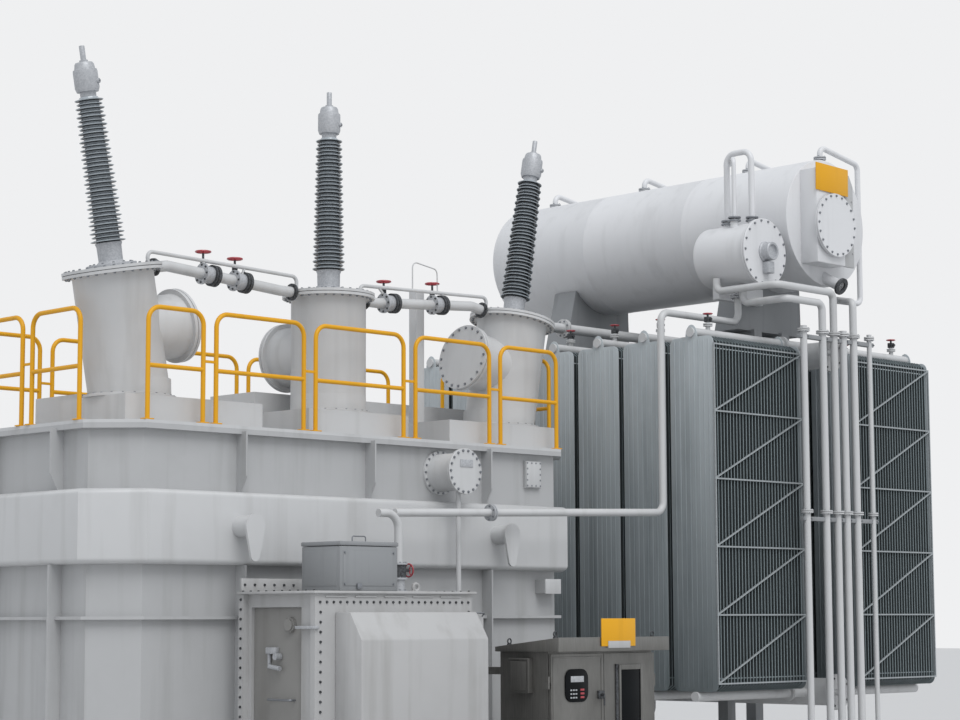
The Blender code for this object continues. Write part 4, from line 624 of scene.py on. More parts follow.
belt = bmesh.new()
prism(belt, [(x, y, girdle_low.z) for x, y in octagon(*BELT_HALF, BELT_CHAMFER)],
      (0, 0, girdle_high.z - girdle_low.z))
rims = [edge for edge in belt.edges if abs(edge.verts[0].co.z - edge.verts[1].co.z) < 0.001]
bmesh.ops.bevel(belt, geom=rims, offset=BELT_ROUND, segments=6, affect='EDGES', profile=0.5, material=-1)
for side in (-1, 1):
    for x in (-TRUNNION_X, TRUNNION_X):
        cylinder(belt, (x, side * (BELT_HALF.y - 0.01), TRUNNION_Z), (x, side * 1.37, TRUNNION_Z), 0.085, 32)
        prism(belt, [(x + u, side * PLATE_OUT, TRUNNION_Z + v) for u, v in drop_outline()],
              (0, side * PLATE_THICK, 0))
piece("belt", belt, GREY, replaces=("tank_girdle",))
print("belt from", round(girdle_low.z, 3), "to", round(girdle_high.z, 3))

# %% [markdown]
# A turret is a rolled steel drum that carries a bushing. The outer two lean, so
# each is turned on its own leaning axis and stands in a short vertical foot. The
# bolted flanges matter most to the look: they get a real gap and a full bolt ring.

# %% Turrets
PAD_TOP = 3.3303
TURRET_PITCH = 2.066
TURRET_Y = -0.60
TURRET_RADIUS = 0.32
TURRET_RISE = 1.04
FLANGE_RADIUS = 0.395
FLANGE_THICK = 0.022
FLANGE_GAP = 0.006
FLANGE_LOW = TURRET_RISE - 2 * FLANGE_THICK - FLANGE_GAP
LEAN = math.radians(10.5)
HATCH_RISE = 0.53
HATCH_REACH = 0.57
SIDES = ((-1, "a"), (0, "b"), (1, "c"))
HATCH_WAY = {-1: Vector((1, 0, 0)), 0: Vector((0, 1, 0)), 1: Vector((-1, 0, 0))}


def turret_place(side):
    return (Matrix.Translation((side * TURRET_PITCH, TURRET_Y, PAD_TOP))
            @ Matrix.Rotation(side * LEAN, 4, 'Y'))


for side, letter in SIDES:
    place = turret_place(side)
    foot = Matrix.Translation((side * TURRET_PITCH, TURRET_Y, PAD_TOP))
    drum = bmesh.new()
    turn_profile(drum, [(0, TURRET_RISE), (FLANGE_RADIUS, TURRET_RISE),
                        (FLANGE_RADIUS, TURRET_RISE - FLANGE_THICK), (0.375, TURRET_RISE - FLANGE_THICK),
                        (0.375, FLANGE_LOW + FLANGE_THICK), (FLANGE_RADIUS, FLANGE_LOW + FLANGE_THICK),
                        (FLANGE_RADIUS, FLANGE_LOW), (0.33, FLANGE_LOW), (TURRET_RADIUS, FLANGE_LOW - 0.015),
                        (TURRET_RADIUS, 0.06), (0, 0.06)], place, 64)
    turn_profile(drum, [(0, 0.16), (TURRET_RADIUS, 0.16), (TURRET_RADIUS + 0.004, 0.03),
                        (0.365, 0.02), (0.365, 0.0), (0, 0.0)], foot, 64)
    outward = place.to_3x3() @ HATCH_WAY[side]
    middle = place @ Vector((0, 0, HATCH_RISE))
    turn_profile(drum, [(0, HATCH_REACH), (0.298, HATCH_REACH), (0.298, 0.547), (0.285, 0.545),
                        (0.285, 0.541), (0.298, 0.539), (0.298, 0.512), (0.262, 0.510), (0.258, 0.50),
                        (0.258, 0.1), (0, 0.1)], along(middle, middle + outward), 56)
    piece(f"turret_drum_{letter}", drum, GREY, replaces=(f"turret_{letter}",))
    bolts = bmesh.new()
    up = place.to_3x3() @ Vector((0, 0, 1))
    bolt_ring(bolts, place @ Vector((0, 0, TURRET_RISE)), up, 0.365, 32, 0.0125)
    bolt_ring(bolts, place @ Vector((0, 0, FLANGE_LOW)), -up, 0.365, 32, 0.0125)
    bolt_ring(bolts, middle + outward * HATCH_REACH, outward, 0.272, 20, 0.0125)
    piece(f"turret_bolts_{letter}", bolts, BOLT)
print("turrets at", [side * TURRET_PITCH for side, letter in SIDES])

# %% [markdown]
# A bushing insulates the high-voltage lead where it passes the cover. Its glazed
# body carries a stack of thin, drooping sheds, wide and narrow by turns, that keep
# rain from forming a path. One profile is written for a single shed and repeated up
# the tapering core. The undersides see no sky, so their shade is painted on: a thin
# shell of nearly black glaze is laid under each shed.

# %% Bushings
SHEDS = 35
SHED_PITCH = 0.0327
SHED_BASE = 0.20
SHED_TOP = SHED_BASE + SHEDS * SHED_PITCH
RIM_RADIUS = 0.140
RIM_TAPER = 0.026
NARROW_BY = 0.012
CORE_RADIUS = 0.094
CORE_TAPER = 0.018
PLUG_RISE = 0.12
PLUG_WAY = Vector((0.5, -0.86, 0))


def shed_profile(core, rim, low):
    return [(core, low + 0.0315), (core + 0.003, low + 0.0240), (rim - 0.004, low + 0.0160),
            (rim, low + 0.0130), (rim - 0.002, low + 0.0085), (rim - 0.007, low + 0.0085),
            (core + 0.003, low + 0.0140), (core, low + 0.003)]


def underside_profile(core, rim, low):
    return [(core + 0.0005, low + 0.002), (core + 0.0035, low + 0.0125), (rim - 0.008, low + 0.0079),
            (rim - 0.008, low + 0.0083), (core + 0.0005, low + 0.0145), (core + 0.0005, low + 0.002)]


CAP_PROFILE = [(radius, SHED_TOP + rise) for radius, rise in (
    (0, 0.41), (0.020, 0.41), (0.022, 0.405), (0.022, 0.30), (0.034, 0.295), (0.034, 0.28), (0.068, 0.276),
    (0.076, 0.262), (0.082, 0.225), (0.094, 0.218), (0.0965, 0.20), (0.0965, 0.075), (0.088, 0.052),
    (0.086, 0.045), (0.064, 0.043), (0.062, 0.0), (0, 0.0))]
FOOT_PROFILE = [(0, 0.1995), (0.104, 0.1995), (0.106, 0.19), (0.098, 0.17), (0.096, 0.055), (0.112, 0.04),
                (0.120, 0.032), (0.196, 0.030), (0.199, 0.027), (0.199, 0.003), (0.196, 0.0), (0, 0.0)]
for side, letter in SIDES:
    seat = turret_place(side) @ Matrix.Translation((0, 0, TURRET_RISE + 0.0003))
    stack = [(0, SHED_TOP + 0.004), (0.072, SHED_TOP + 0.004)]
    shade, sheds, cap, small = (bmesh.new() for number in range(4))
    for number in reversed(range(SHEDS)):
        share = number / (SHEDS - 1)
        rim = RIM_RADIUS - RIM_TAPER * share - NARROW_BY * (number % 2)
        core = CORE_RADIUS - CORE_TAPER * share
        low = SHED_BASE + number * SHED_PITCH
        stack += shed_profile(core, rim, low)
        turn_profile(shade, underside_profile(core, rim, low), seat, 40)
    stack += [(0.097, SHED_BASE - 0.002), (0, SHED_BASE - 0.002)]
    turn_profile(sheds, stack, seat, 56)
    piece(f"sheds_{letter}", sheds, GLAZE, slot="porcelain", replaces=(f"bushing_{letter}",))
    # painted shade: the sheds' undersides get the nearly black glaze
    piece(f"shed_undersides_{letter}", shade, GLAZE_SHADE, slot="porcelain")
    turn_profile(cap, CAP_PROFILE, seat, 48)
    turn_profile(cap, FOOT_PROFILE, seat, 48)
    plug = seat @ Vector((0, 0, SHED_TOP + PLUG_RISE))
    outward = seat.to_3x3() @ PLUG_WAY
    cylinder(cap, plug + outward * 0.08, plug + outward * 0.112, 0.020, 16)
    piece(f"bushing_fittings_{letter}", cap, CASTING, slot="porcelain")
    bolt_ring(small, seat @ Vector((0, 0, 0.03)), seat.to_3x3() @ Vector((0, 0, 1)), 0.165, 12, 0.012)
    cylinder(small, plug + outward * 0.112, plug + outward * 0.118, 0.010, 8)
    piece(f"bushing_bolts_{letter}", small, BOLT, slot="porcelain")
print("bushings with", SHEDS, "sheds each")

# %% [markdown]
# The handrails are bent from round tube in arched panels, each with a middle rail.
# Neighbouring panels are tied by a small clip, and every post ends in a foot plate.

# %% Handrails
RAIL_PANELS = ((-2.30, -1.73), (-1.64, -0.70), (-0.61, 0.41), (0.51, 1.44), (1.54, 2.30))
RAIL_END_PANELS = ((-0.73, -0.05), (0.05, 0.73))
RAIL_RADIUS = 0.019
RAIL_TOP = 4.00
RAIL_MIDDLE = 3.545
CLIP_RISE = 0.06
COVER_TOP = 3.1253
FOOT_HALF = Vector((0.045, 0.028, 0))


def rail_spot(name, line, along_rail, height):
    """A point of a handrail: the front and back ones run along X, the end ones along Y."""
    return (along_rail, line, height) if name in ("front", "back") else (line, along_rail, height)


for name, panels, line in (("front", RAIL_PANELS, -1.12), ("back", RAIL_PANELS, 1.12),
                           ("left", RAIL_END_PANELS, -2.62), ("right", RAIL_END_PANELS, 2.62)):
    routes = []
    fittings = bmesh.new()
    for low, high in panels:
        low, high = low + RAIL_RADIUS, high - RAIL_RADIUS
        arch = ((low, COVER_TOP), (low, RAIL_TOP), (high, RAIL_TOP), (high, COVER_TOP))
        routes.append(([rail_spot(name, line, *point) for point in arch], RAIL_RADIUS, 0.11))
        routes.append(([rail_spot(name, line, end, RAIL_MIDDLE) for end in (low, high)],
                       RAIL_RADIUS * 0.95, 0))
        for post in (low, high):
            corner = Vector(rail_spot(name, line, post, COVER_TOP + 0.0003))
            block(fittings, corner - FOOT_HALF, corner + FOOT_HALF + Vector((0, 0, 0.010)), 0.002)
    for first, second in zip(panels, panels[1:]):
        start = Vector(rail_spot(name, line, first[1] - 0.02, RAIL_MIDDLE + CLIP_RISE))
        end = Vector(rail_spot(name, line, second[0] + 0.02, RAIL_MIDDLE + CLIP_RISE))
        block(fittings, start - Vector((0.004, 0.006, 0.004)), end + Vector((0.004, 0.006, 0.018)), 0.002)
    tubes(f"rails_{name}", routes, YELLOW, slot="yellow_paint", replaces=(f"handrail_{name}",), resolution=6)
    piece(f"rail_fittings_{name}", fittings, YELLOW, slot="yellow_paint")
print("handrails round the cover")

# %% [markdown]
# A handwheel valve appears on many of the pipes: two flanges with a gap, a body, a
# spindle and a red wheel. The wheel is a small circle spun into a ring with spokes.
# Bodies and wheels have different paints, so each maker fills its own bmesh.

# %% Valve makers
def ring_bar(shape, place, radius, thick):
    """A torus about the local Z of a place, spun from a small circle."""
    before = set(shape.verts)
    circle = bmesh.ops.create_circle(shape, segments=8, radius=thick, matrix=facing_front((radius, 0, 0)))
    verts = circle["verts"]
    edges = list({edge for vert in verts for edge in vert.link_edges})
    bmesh.ops.spin(shape, geom=verts + edges, cent=(0, 0, 0), axis=(0, 0, 1), angle=math.tau,
                   steps=24, use_merge=True)
    fresh = [vert for vert in shape.verts if vert not in before]
    bmesh.ops.recalc_face_normals(shape, faces=list({face for vert in fresh for face in vert.link_faces}))
    bmesh.ops.transform(shape, matrix=place, verts=fresh)


def handwheel(shape, place, radius):
    """A ring with three spokes and a hub, about the local Z of a place."""
    ring_bar(shape, place, radius, radius * 0.13)
    for turn in range(3):
        spoke = place @ Matrix.Rotation(math.tau * turn / 3, 4, 'Z')
        cylinder(shape, spoke @ Vector((0, 0, 0)), spoke @ Vector((radius, 0, 0)), radius * 0.09, 8)
    hub = Vector((0, 0, radius * 0.2))
    cylinder(shape, place @ -hub, place @ hub, radius * 0.22, 12)


def flanges(shape, start, end, radius, thick, gap=0.006):
    """Two facing flange discs, midway between two points."""
    start, end = Vector(start), Vector(end)
    middle, way = (start + end) / 2, (end - start).normalized()
    for side in (-1, 1):
        cylinder(shape, middle + way * side * gap / 2, middle + way * side * (gap / 2 + thick), radius, 28)


def joint(discs, bolts, start, end, radius, thick, count=4, size=0.008, reach=0.017):
    """Two flanges with bolts on both of them."""
    flanges(discs, start, end, radius, thick)
    start, end = Vector(start), Vector(end)
    middle, way = (start + end) / 2, (end - start).normalized()
    for side in (-1, 1):
        bolt_ring(bolts, middle + way * side * reach, way * side, radius * 0.78, count, size, 0.4)


print("valve makers ready")

# %% [markdown]
# Between neighbouring turrets runs a thick oil pipe with two valves, each a pale
# body beside a pair of black flanges, with a red wheel on top. A thin air pipe leaves
# the turret tops and crosses above the valves, and each valve is tied to it.

# %% Vent pipes
VENT_RISE = 1.015
VENT_RADIUS = 0.045
AIR_REACH = 0.36
AIR_RISE = TURRET_RISE + 0.11
VALVE_RADIUS = 0.088
VALVE_HALF = 0.075
STEM_SHIFT = Vector((-0.02, 0.05, 0))
STEM_RISE = Vector((0, 0, 0.195))
SLEEVE_RISE = Vector((0, 0, 0.125))
BAIL = [(0.986, TURRET_Y, 4.499), (0.986, TURRET_Y, 4.760), (1.288, TURRET_Y, 4.715),
        (1.292, TURRET_Y, 4.508)]


def vent_valve(bodies, irons, wheels, middle, way):
    for start, end, radius, shape in ((-VALVE_HALF, -0.057, VALVE_RADIUS, bodies),
                                      (-0.057, 0.020, 0.070, bodies),
                                      (0.020, 0.040, VALVE_RADIUS, irons),
                                      (0.046, VALVE_HALF, VALVE_RADIUS, irons)):
        cylinder(shape, middle + way * start, middle + way * end, radius, 32)
    for step in (-VALVE_HALF, VALVE_HALF):
        bolt_ring(irons, middle + way * step, way * step, 0.072, 8, 0.009)
    stem = middle + STEM_SHIFT
    cylinder(irons, stem, stem + STEM_RISE, 0.010, 10)
    cylinder(irons, stem, stem + SLEEVE_RISE, 0.024, 12)
    handwheel(wheels, Matrix.Translation(stem + STEM_RISE), 0.060)


for letters, left, right, shares in (("ab", -1, 0, (0.36, 0.64)), ("bc", 0, 1, (0.14, 0.64))):
    ends, knees, seats, rises = [], [], [], []
    for side, inward in ((left, 1), (right, -1)):
        for found, reach, rise in ((ends, 0.4003, VENT_RISE), (knees, 0.54, VENT_RISE),
                                   (seats, AIR_REACH, TURRET_RISE), (rises, AIR_REACH, AIR_RISE)):
            found.append(turret_place(side) @ Vector((inward * reach, 0, rise)))
    span = knees[1] - knees[0]
    routes = [([ends[0], *knees, ends[1]], VENT_RADIUS, 0.08), ([seats[0], *rises, seats[1]], 0.016, 0.05)]
    bodies, wheels, irons = bmesh.new(), bmesh.new(), bmesh.new()
    for end, knee in zip(ends, knees):
        inward = (knee - end).normalized()
        cylinder(irons, end, end + inward * 0.020, 0.072, 28)
        bolt_ring(irons, end + inward * 0.020, inward, 0.058, 6, 0.008)
    for share in shares:
        middle = knees[0] + span * share
        routes.append(([middle, rises[0].lerp(rises[1], share)], 0.012, 0))
        vent_valve(bodies, irons, wheels, middle, span.normalized())
    tubes(f"vent_tube_{letters}", routes, GREY, replaces=(f"vent_pipe_{letters}",), resolution=6)
    piece(f"vent_flanges_{letters}", bodies, CASTING)
    piece(f"vent_irons_{letters}", irons, BLACK)
    piece(f"vent_wheels_{letters}", wheels, RED)
tubes("air_pipe_bail", [(BAIL, 0.006, 0.05)], GREY)
print("vent pipes with valves")

# %% [markdown]
# A radiator is a row of thin panels that oil flows through. Only the two outer ones
# show their faces: they are plates with round corners, thin upright ribs and an arch
# over the header pipe. The others show a narrow edge, so each is a thin light rim
# round a core painted nearly black, which is painted shade for the narrow gaps
# between the panels; both are made once and copied along the row.

# %% Radiator panels
RAD_PITCH = 0.58
RAD_DEEP = 0.52
RAD_COUNT = 7
RAD_FRONT = -2.0
FINS = 29
RIBS = 8
RIB_HALF = 0.004
RIB_PROUD = 0.005
PANEL_CORNER = 0.07
HEADER_Z = 4.2353
ARCH_TOP = HEADER_Z + 0.072
ARCH_HALF = 0.07
rad_low, rad_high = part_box("radiator_a1")
far_low, far_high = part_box("radiator_b1")


def kept_mesh(name, shape):
    mesh = bpy.data.meshes.new(name)
    shape.to_mesh(mesh)
    shape.free()
    return mesh


def ribbed_panel(thick):
    """One outer panel: a plate with round corners, an arch over the header and thin upright ribs."""
    low, high = rad_low.z, rad_high.z
    arch = [(RAD_DEEP / 2 + ARCH_HALF * math.cos(math.pi * step / 8),
             high + (ARCH_TOP - high) * math.sin(math.pi * step / 8)) for step in range(9)]
    top_far, top_near, low_near, low_far = rounded_corners((0, low), (RAD_DEEP, high), PANEL_CORNER)
    panel = bmesh.new()
    prism(panel, [(-thick / 2, y, z) for y, z in low_far + top_far + arch + top_near + low_near],
          (thick, 0, 0), 0.0015)
    proud = thick / 2 + RIB_PROUD
    for number in range(1, RIBS + 1):
        y = RAD_DEEP * number / (RIBS + 1)
        block(panel, (-proud, y - RIB_HALF, low + 0.03), (proud, y + RIB_HALF, high - 0.03), 0.002)
    return kept_mesh("ribbed_panel", panel)


def plain_panel(thick, inset):
    """One inner panel with cut corners, moved in from its edges by an inset."""
    low, high, near, far = rad_low.z + inset, rad_high.z - inset, inset, RAD_DEEP - inset
    panel = bmesh.new()
    prism(panel, [(-thick / 2, y, z) for y, z in (
        (near, low + 0.05), (0.08, low), (RAD_DEEP - 0.08, low), (far, low + 0.05), (far, high - 0.05),
        (RAD_DEEP - 0.08, high), (0.08, high), (near, high - 0.05))], (thick, 0, 0))
    return kept_mesh("plain_panel", panel)


# %% [markdown]
# A radiator hangs together by its headers and by thin rods near the panels' corners.
# The panels of all fourteen are copies of the three meshes above, moved into place.

# %% Radiators
ROD_INSET = 0.12
ROD_DEPTH = 0.012
HEADER_INSET = 0.055
edge_sheet = plain_panel(0.006, 0.0)
# the core sheet carries the painted shade of the gaps between panels
core_shade_sheet = plain_panel(0.011, 0.005)
outer_sheet = ribbed_panel(0.008)
for letter, left, right in (("a", rad_low.x, rad_high.x), ("b", far_low.x, far_high.x)):
    pitch = (right - left - 0.012) / (FINS - 1)
    for number in range(RAD_COUNT):
        front = RAD_FRONT + number * RAD_PITCH
        stack, rims, core_shade = bmesh.new(), bmesh.new(), bmesh.new()
        outer_fin, inner_fin = ((stack, outer_sheet),), ((rims, edge_sheet), (core_shade, core_shade_sheet))
        for fin in range(FINS):
            outer = fin in (0, FINS - 1)
            for shape, sheet in (outer_fin if outer else inner_fin):
                known = len(shape.verts)
                shape.from_mesh(sheet)
                shape.verts.ensure_lookup_table()
                bmesh.ops.translate(shape, vec=(left + 0.007 + fin * pitch, front, 0),
                                    verts=shape.verts[known:])
        name = f"{letter}{number + 1}"
        piece(f"panel_rims_{name}", rims, RADIATOR_EDGE, slot="radiator_paint")
        # painted shade: the cores are painted nearly black for the shade between the panels
        piece(f"panel_core_shade_{name}", core_shade, RADIATOR_SHADE, slot="radiator_paint")
        for height in (rad_low.z + ROD_INSET, rad_high.z - ROD_INSET):
            for y in (front + ROD_DEPTH, front + RAD_DEEP - ROD_DEPTH):
                cylinder(stack, (left + 0.006, y, height), (right - 0.006, y, height), 0.006, 6)
        middle = front + RAD_DEEP / 2
        for height in (rad_low.z + HEADER_INSET, rad_high.z - HEADER_INSET):
            cylinder(stack, (left + 0.004, middle, height), (right - 0.004, middle, height), 0.04, 12)
        piece(f"panels_{name}", stack, RADIATOR, slot="radiator_paint", replaces=(f"radiator_{name}",))
print("radiators of", FINS, "panels")

# %% [markdown]
# The manifolds are the mains of the bank: one round pipe above and one below, with
# a header to each radiator. Every top header has a vent with its own small valve.

# %% Manifolds
MANIFOLD_X = 5.19
MANIFOLD_RADIUS = 0.13
MANIFOLD_FRONT = RAD_FRONT - 0.04
MANIFOLD_BACK = RAD_FRONT + RAD_COUNT * RAD_PITCH + 0.04
TOP_Z = 4.14
LOW_Z = 0.90


def header_vent(main, bolts, wheels, foot):
    """A stub with a pair of flanges, a small valve body and its wheel."""
    def up(height, forward=0.0):
        return foot + Vector((0, -forward, height))

    cylinder(main, foot, up(0.09), 0.022, 16)
    flanges(main, up(0.03), up(0.07), 0.044, 0.010)
    block(bolts, foot + Vector((-0.026, -0.026, 0.075)), foot + Vector((0.026, 0.026, 0.125)), 0.004)
    cylinder(bolts, up(0.10), up(0.165), 0.010, 10)
    cylinder(bolts, up(0.10, forward=0.045), up(0.10), 0.014, 10)
    handwheel(wheels, Matrix.Translation(up(0.155)), 0.042)


wheels = bmesh.new()
for level, centre_z, header_z in (("top", TOP_Z, HEADER_Z), ("bottom", LOW_Z, 0.8947)):
    main, bolts = bmesh.new(), bmesh.new()
    cylinder(main, (MANIFOLD_X, MANIFOLD_FRONT, centre_z), (MANIFOLD_X, MANIFOLD_BACK, centre_z),
             MANIFOLD_RADIUS, 40)
    for end, outward in ((MANIFOLD_FRONT, -1), (MANIFOLD_BACK, 1)):
        for near, far in ((-0.019, -0.003), (0.003, 0.019)):
            cylinder(main, (MANIFOLD_X, end + near, centre_z), (MANIFOLD_X, end + far, centre_z), 0.17, 40)
        bolt_ring(bolts, (MANIFOLD_X, end + outward * 0.019, centre_z), (0, outward, 0), 0.148, 12, 0.011)
    for number in range(RAD_COUNT):
        middle = RAD_FRONT + RAD_DEEP / 2 + number * RAD_PITCH
        cylinder(main, (rad_low.x - 0.018, middle, header_z), (far_high.x + 0.018, middle, header_z),
                 0.045, 24)
        if level == "top":
            for vent_x in (rad_low.x + 0.25, far_high.x - 0.25):
                header_vent(main, bolts, wheels, Vector((vent_x, middle, header_z + 0.04)))
        for x in (rad_high.x + 0.06, far_low.x - 0.06):
            flanges(main, (x - 0.02, middle, header_z), (x + 0.02, middle, header_z), 0.075, 0.012)
    piece(f"manifold_{level}_pipes", main, GREY, replaces=(f"manifold_{level}",))
    piece(f"manifold_{level}_bolts", bolts, BLACK)
piece("vent_handwheels", wheels, RED)
print("manifolds at heights", TOP_Z, "and", LOW_Z)

# %% [markdown]
# The conservator is a rolled drum that takes up the oil's swelling. Its back end is
# dished and its front end is a flat plate with a raised, box-like cover, a bolted
# manhole, a plate for notices and a round drain nozzle.

# %% Main conservator drum
MAIN_X = 5.36
MAIN_Z = 5.47
MAIN_RADIUS = 0.63
MAIN_FRONT = -1.90
MAIN_LENGTH = 4.00
SEAM_HALF = 0.006
SEAM_PROUD = 0.002
main_place = facing_front((MAIN_X, MAIN_FRONT, MAIN_Z))


def dished(radius, start, deep, angles):
    """A dished end's profile, from its edge to near its middle."""
    return [(radius * math.sin(math.radians(angle)), start - deep * math.cos(math.radians(angle)))
            for angle in angles]


drum = bmesh.new()
profile = [(0, 0.0), (MAIN_RADIUS - 0.012, 0.0), (MAIN_RADIUS - 0.002, -0.006), (MAIN_RADIUS, -0.02)]
for seam in (-MAIN_LENGTH / 3, -2 * MAIN_LENGTH / 3):
    profile += [(MAIN_RADIUS, seam + SEAM_HALF), (MAIN_RADIUS + SEAM_PROUD, seam),
                (MAIN_RADIUS, seam - SEAM_HALF)]
profile += dished(MAIN_RADIUS, 0.02 - MAIN_LENGTH, 0.12, (90, 84, 78, 70, 60, 50, 40, 30, 20, 10))
turn_profile(drum, profile + [(0, -MAIN_LENGTH - 0.10)], main_place, 96)
piece("conservator_drum", drum, PALE, replaces=("conservator",))
print("conservator", MAIN_LENGTH, "long")

# %% [markdown]
# The things on the drum's front plate have different paints, so each is a piece of
# its own: the raised cover with its manhole, a side plate, the bolts and the nozzle.

# %% Main conservator front
FRONT_LOW, FRONT_HIGH = Vector((4.95, -2.10, 5.02)), Vector((5.40, -1.895, 5.95))
MANHOLE = Vector((5.20, FRONT_LOW.y, 5.40))
NOZZLE_ROOT, NOZZLE_TIP = Vector((5.33, -1.876, 4.93)), Vector((5.33, -2.10, 4.81))
SIDE_PLATE_Y = -2.060
SIDE_PLATE_THICK = 0.028
NOTICE_PLACE = Matrix.Translation((5.19, -2.108, 5.855)) @ Matrix.Rotation(math.radians(1.5), 4, 'Y')
nozzle_way = (NOZZLE_TIP - NOZZLE_ROOT).normalized()

front_work, side_plate, front_bolts, nozzle_end, notice = (bmesh.new() for number in range(5))
block(front_work, FRONT_LOW, FRONT_HIGH, 0.012)
for near, far, radius in ((-0.01, 0.02, 0.27), (0.02, 0.033, 0.31), (0.037, 0.05, 0.31)):
    cylinder(front_work, MANHOLE - Vector((0, near, 0)), MANHOLE - Vector((0, far, 0)), radius, 56)
cylinder(front_work, NOZZLE_ROOT, NOZZLE_TIP - nozzle_way * 0.02, 0.055, 32)
piece("conservator_front", front_work, PALE)
prism(side_plate, [(x, SIDE_PLATE_Y, z) for x, z in ((5.385, 5.02), (5.56, 5.02), (5.56, 5.83), (5.50, 5.938),
                                                     (5.385, 5.938))], (0, -SIDE_PLATE_THICK, 0), 0.004)
for height in (5.16, 5.42, 5.68):
    front_bolt(side_plate, (5.535, SIDE_PLATE_Y - SIDE_PLATE_THICK, height), 0.010)
piece("conservator_side_plate", side_plate, TANK_SHADE_GREY)
bolt_ring(front_bolts, MANHOLE - Vector((0, 0.05, 0)), (0, -1, 0), 0.288, 20, 0.012)
piece("manhole_bolts", front_bolts, BOLT)
turn_profile(nozzle_end, [(0.0, 0.004), (0.046, 0.004), (0.046, 0.024), (0.083, 0.024), (0.085, 0.021),
                          (0.085, 0.002), (0.083, 0.0), (0, 0.0)],
             along(NOZZLE_TIP - nozzle_way * 0.024, NOZZLE_TIP), 40)
piece("nozzle_flange", nozzle_end, BLACK)
block(notice, (-0.26, -0.005, -0.135), (0.26, 0.005, 0.135), 0.003, NOTICE_PLACE)
piece("conservator_notice_plate", notice, YELLOW)
print("conservator's front plate reaches Y", FRONT_LOW.y)

# %% [markdown]
# Four bent pipes leave flanges on top of the drum and run down its far side. The
# first one comes down farther, to meet the pipe that rises beside the bank.

# %% Conservator pipes
DRUM_TOP = MAIN_Z + MAIN_RADIUS
LOOP_X = MAIN_X + 0.06
LOOP_OUT = MAIN_X + MAIN_RADIUS + 0.06
LOOPS = ((-1.80, 4.74, 5.71), (-0.9, 5.05, 5.87), (0.5, 5.05, 5.87), (1.8, 5.05, 5.87))
routes = []
collars, collar_bolts = bmesh.new(), bmesh.new()
for y, low, inner in LOOPS:
    routes.append(([(LOOP_X, y, DRUM_TOP - 0.02), (LOOP_X, y, DRUM_TOP + 0.16),
                    (LOOP_OUT, y, DRUM_TOP + 0.06), (LOOP_OUT, y, low), (inner, y, low)], 0.028, 0.07))
    joint(collars, collar_bolts, (LOOP_X, y, DRUM_TOP + 0.02), (LOOP_X, y, DRUM_TOP + 0.06), 0.062, 0.012)
tubes("conservator_loops", routes, PALE, resolution=6)
piece("loop_flanges", collars, CASTING)
piece("loop_bolts", collar_bolts, BOLT)
print("loops:", len(routes))

# %% [markdown]
# The tap changer has a small conservator of its own. Its round front plate is
# bolted on, and carries an oil level gauge.

# %% Small conservator
SMALL_X = 4.42
SMALL_Z = 5.08
SMALL_RADIUS = 0.295
SMALL_FRONT = -1.87
NECK_LOW = 5.33
NECK_HIGH = 5.395
LOOP_FOOT = 5.38
LOOP_TOP = 6.09
NECKS = ((4.42, -1.42), (4.42, -1.72), (4.30, -1.60))
small_place = facing_front((SMALL_X, SMALL_FRONT, SMALL_Z))
small, gauge, small_bolts = bmesh.new(), bmesh.new(), bmesh.new()
turn_profile(small, [(0, 0.0), (0.322, 0.0), (0.325, -0.003), (0.325, -0.014), (0.315, -0.016),
                     (0.315, -0.02), (0.325, -0.022), (0.325, -0.036), (SMALL_RADIUS, -0.038)]
             + dished(SMALL_RADIUS, -0.63, 0.09, (90, 82, 74, 64, 52, 40, 26, 12)) + [(0, -0.72)],
             small_place, 64)
block(small, (4.32, -1.38, 4.665), (5.01, -1.3003, 4.825), 0.006)
bolt_ring(small_bolts, small_place.translation, (0, -1, 0), 0.303, 18, 0.012)
for x, y in NECKS:
    cylinder(small, (x, y, NECK_LOW), (x, y, NECK_HIGH), 0.04, 20)
    for height in (NECK_HIGH, NECK_HIGH + 0.03):
        cylinder(small_bolts, (x, y, height), (x, y, height + 0.014), 0.062, 24)
piece("small_conservator_drum", small, PALE, replaces=("small_conservator",))
turn_profile(gauge, [(0, 0.075), (0.062, 0.075), (0.066, 0.098), (0.082, 0.100), (0.088, 0.094),
                     (0.088, 0.02), (0.10, 0.012), (0.10, 0.0), (0, 0.0)], small_place, 40)
block(gauge, (SMALL_X - 0.045, SMALL_FRONT - 0.075, SMALL_Z - 0.21),
      (SMALL_X + 0.045, SMALL_FRONT, SMALL_Z - 0.10), 0.006)
piece("oil_gauge", gauge, CASTING)
piece("small_conservator_bolts", small_bolts, BOLT)
back_neck, front_neck, side_neck = NECKS
tubes("small_loops", [([(*back_neck, LOOP_FOOT), (*back_neck, LOOP_TOP), (*front_neck, LOOP_TOP),
                        (*front_neck, LOOP_FOOT)], 0.030, 0.10),
                      ([(*side_neck, LOOP_FOOT), (*side_neck, 6.02), (4.55, -1.35, 6.02)], 0.022, 0.07)],
      PALE)
print("small conservator and its gauge")

# %% [markdown]
# Small things make the tank believable: the hand hole's cover sheet and its bolts,
# the rings of bolts round the turrets' feet, and a square post on the cover.

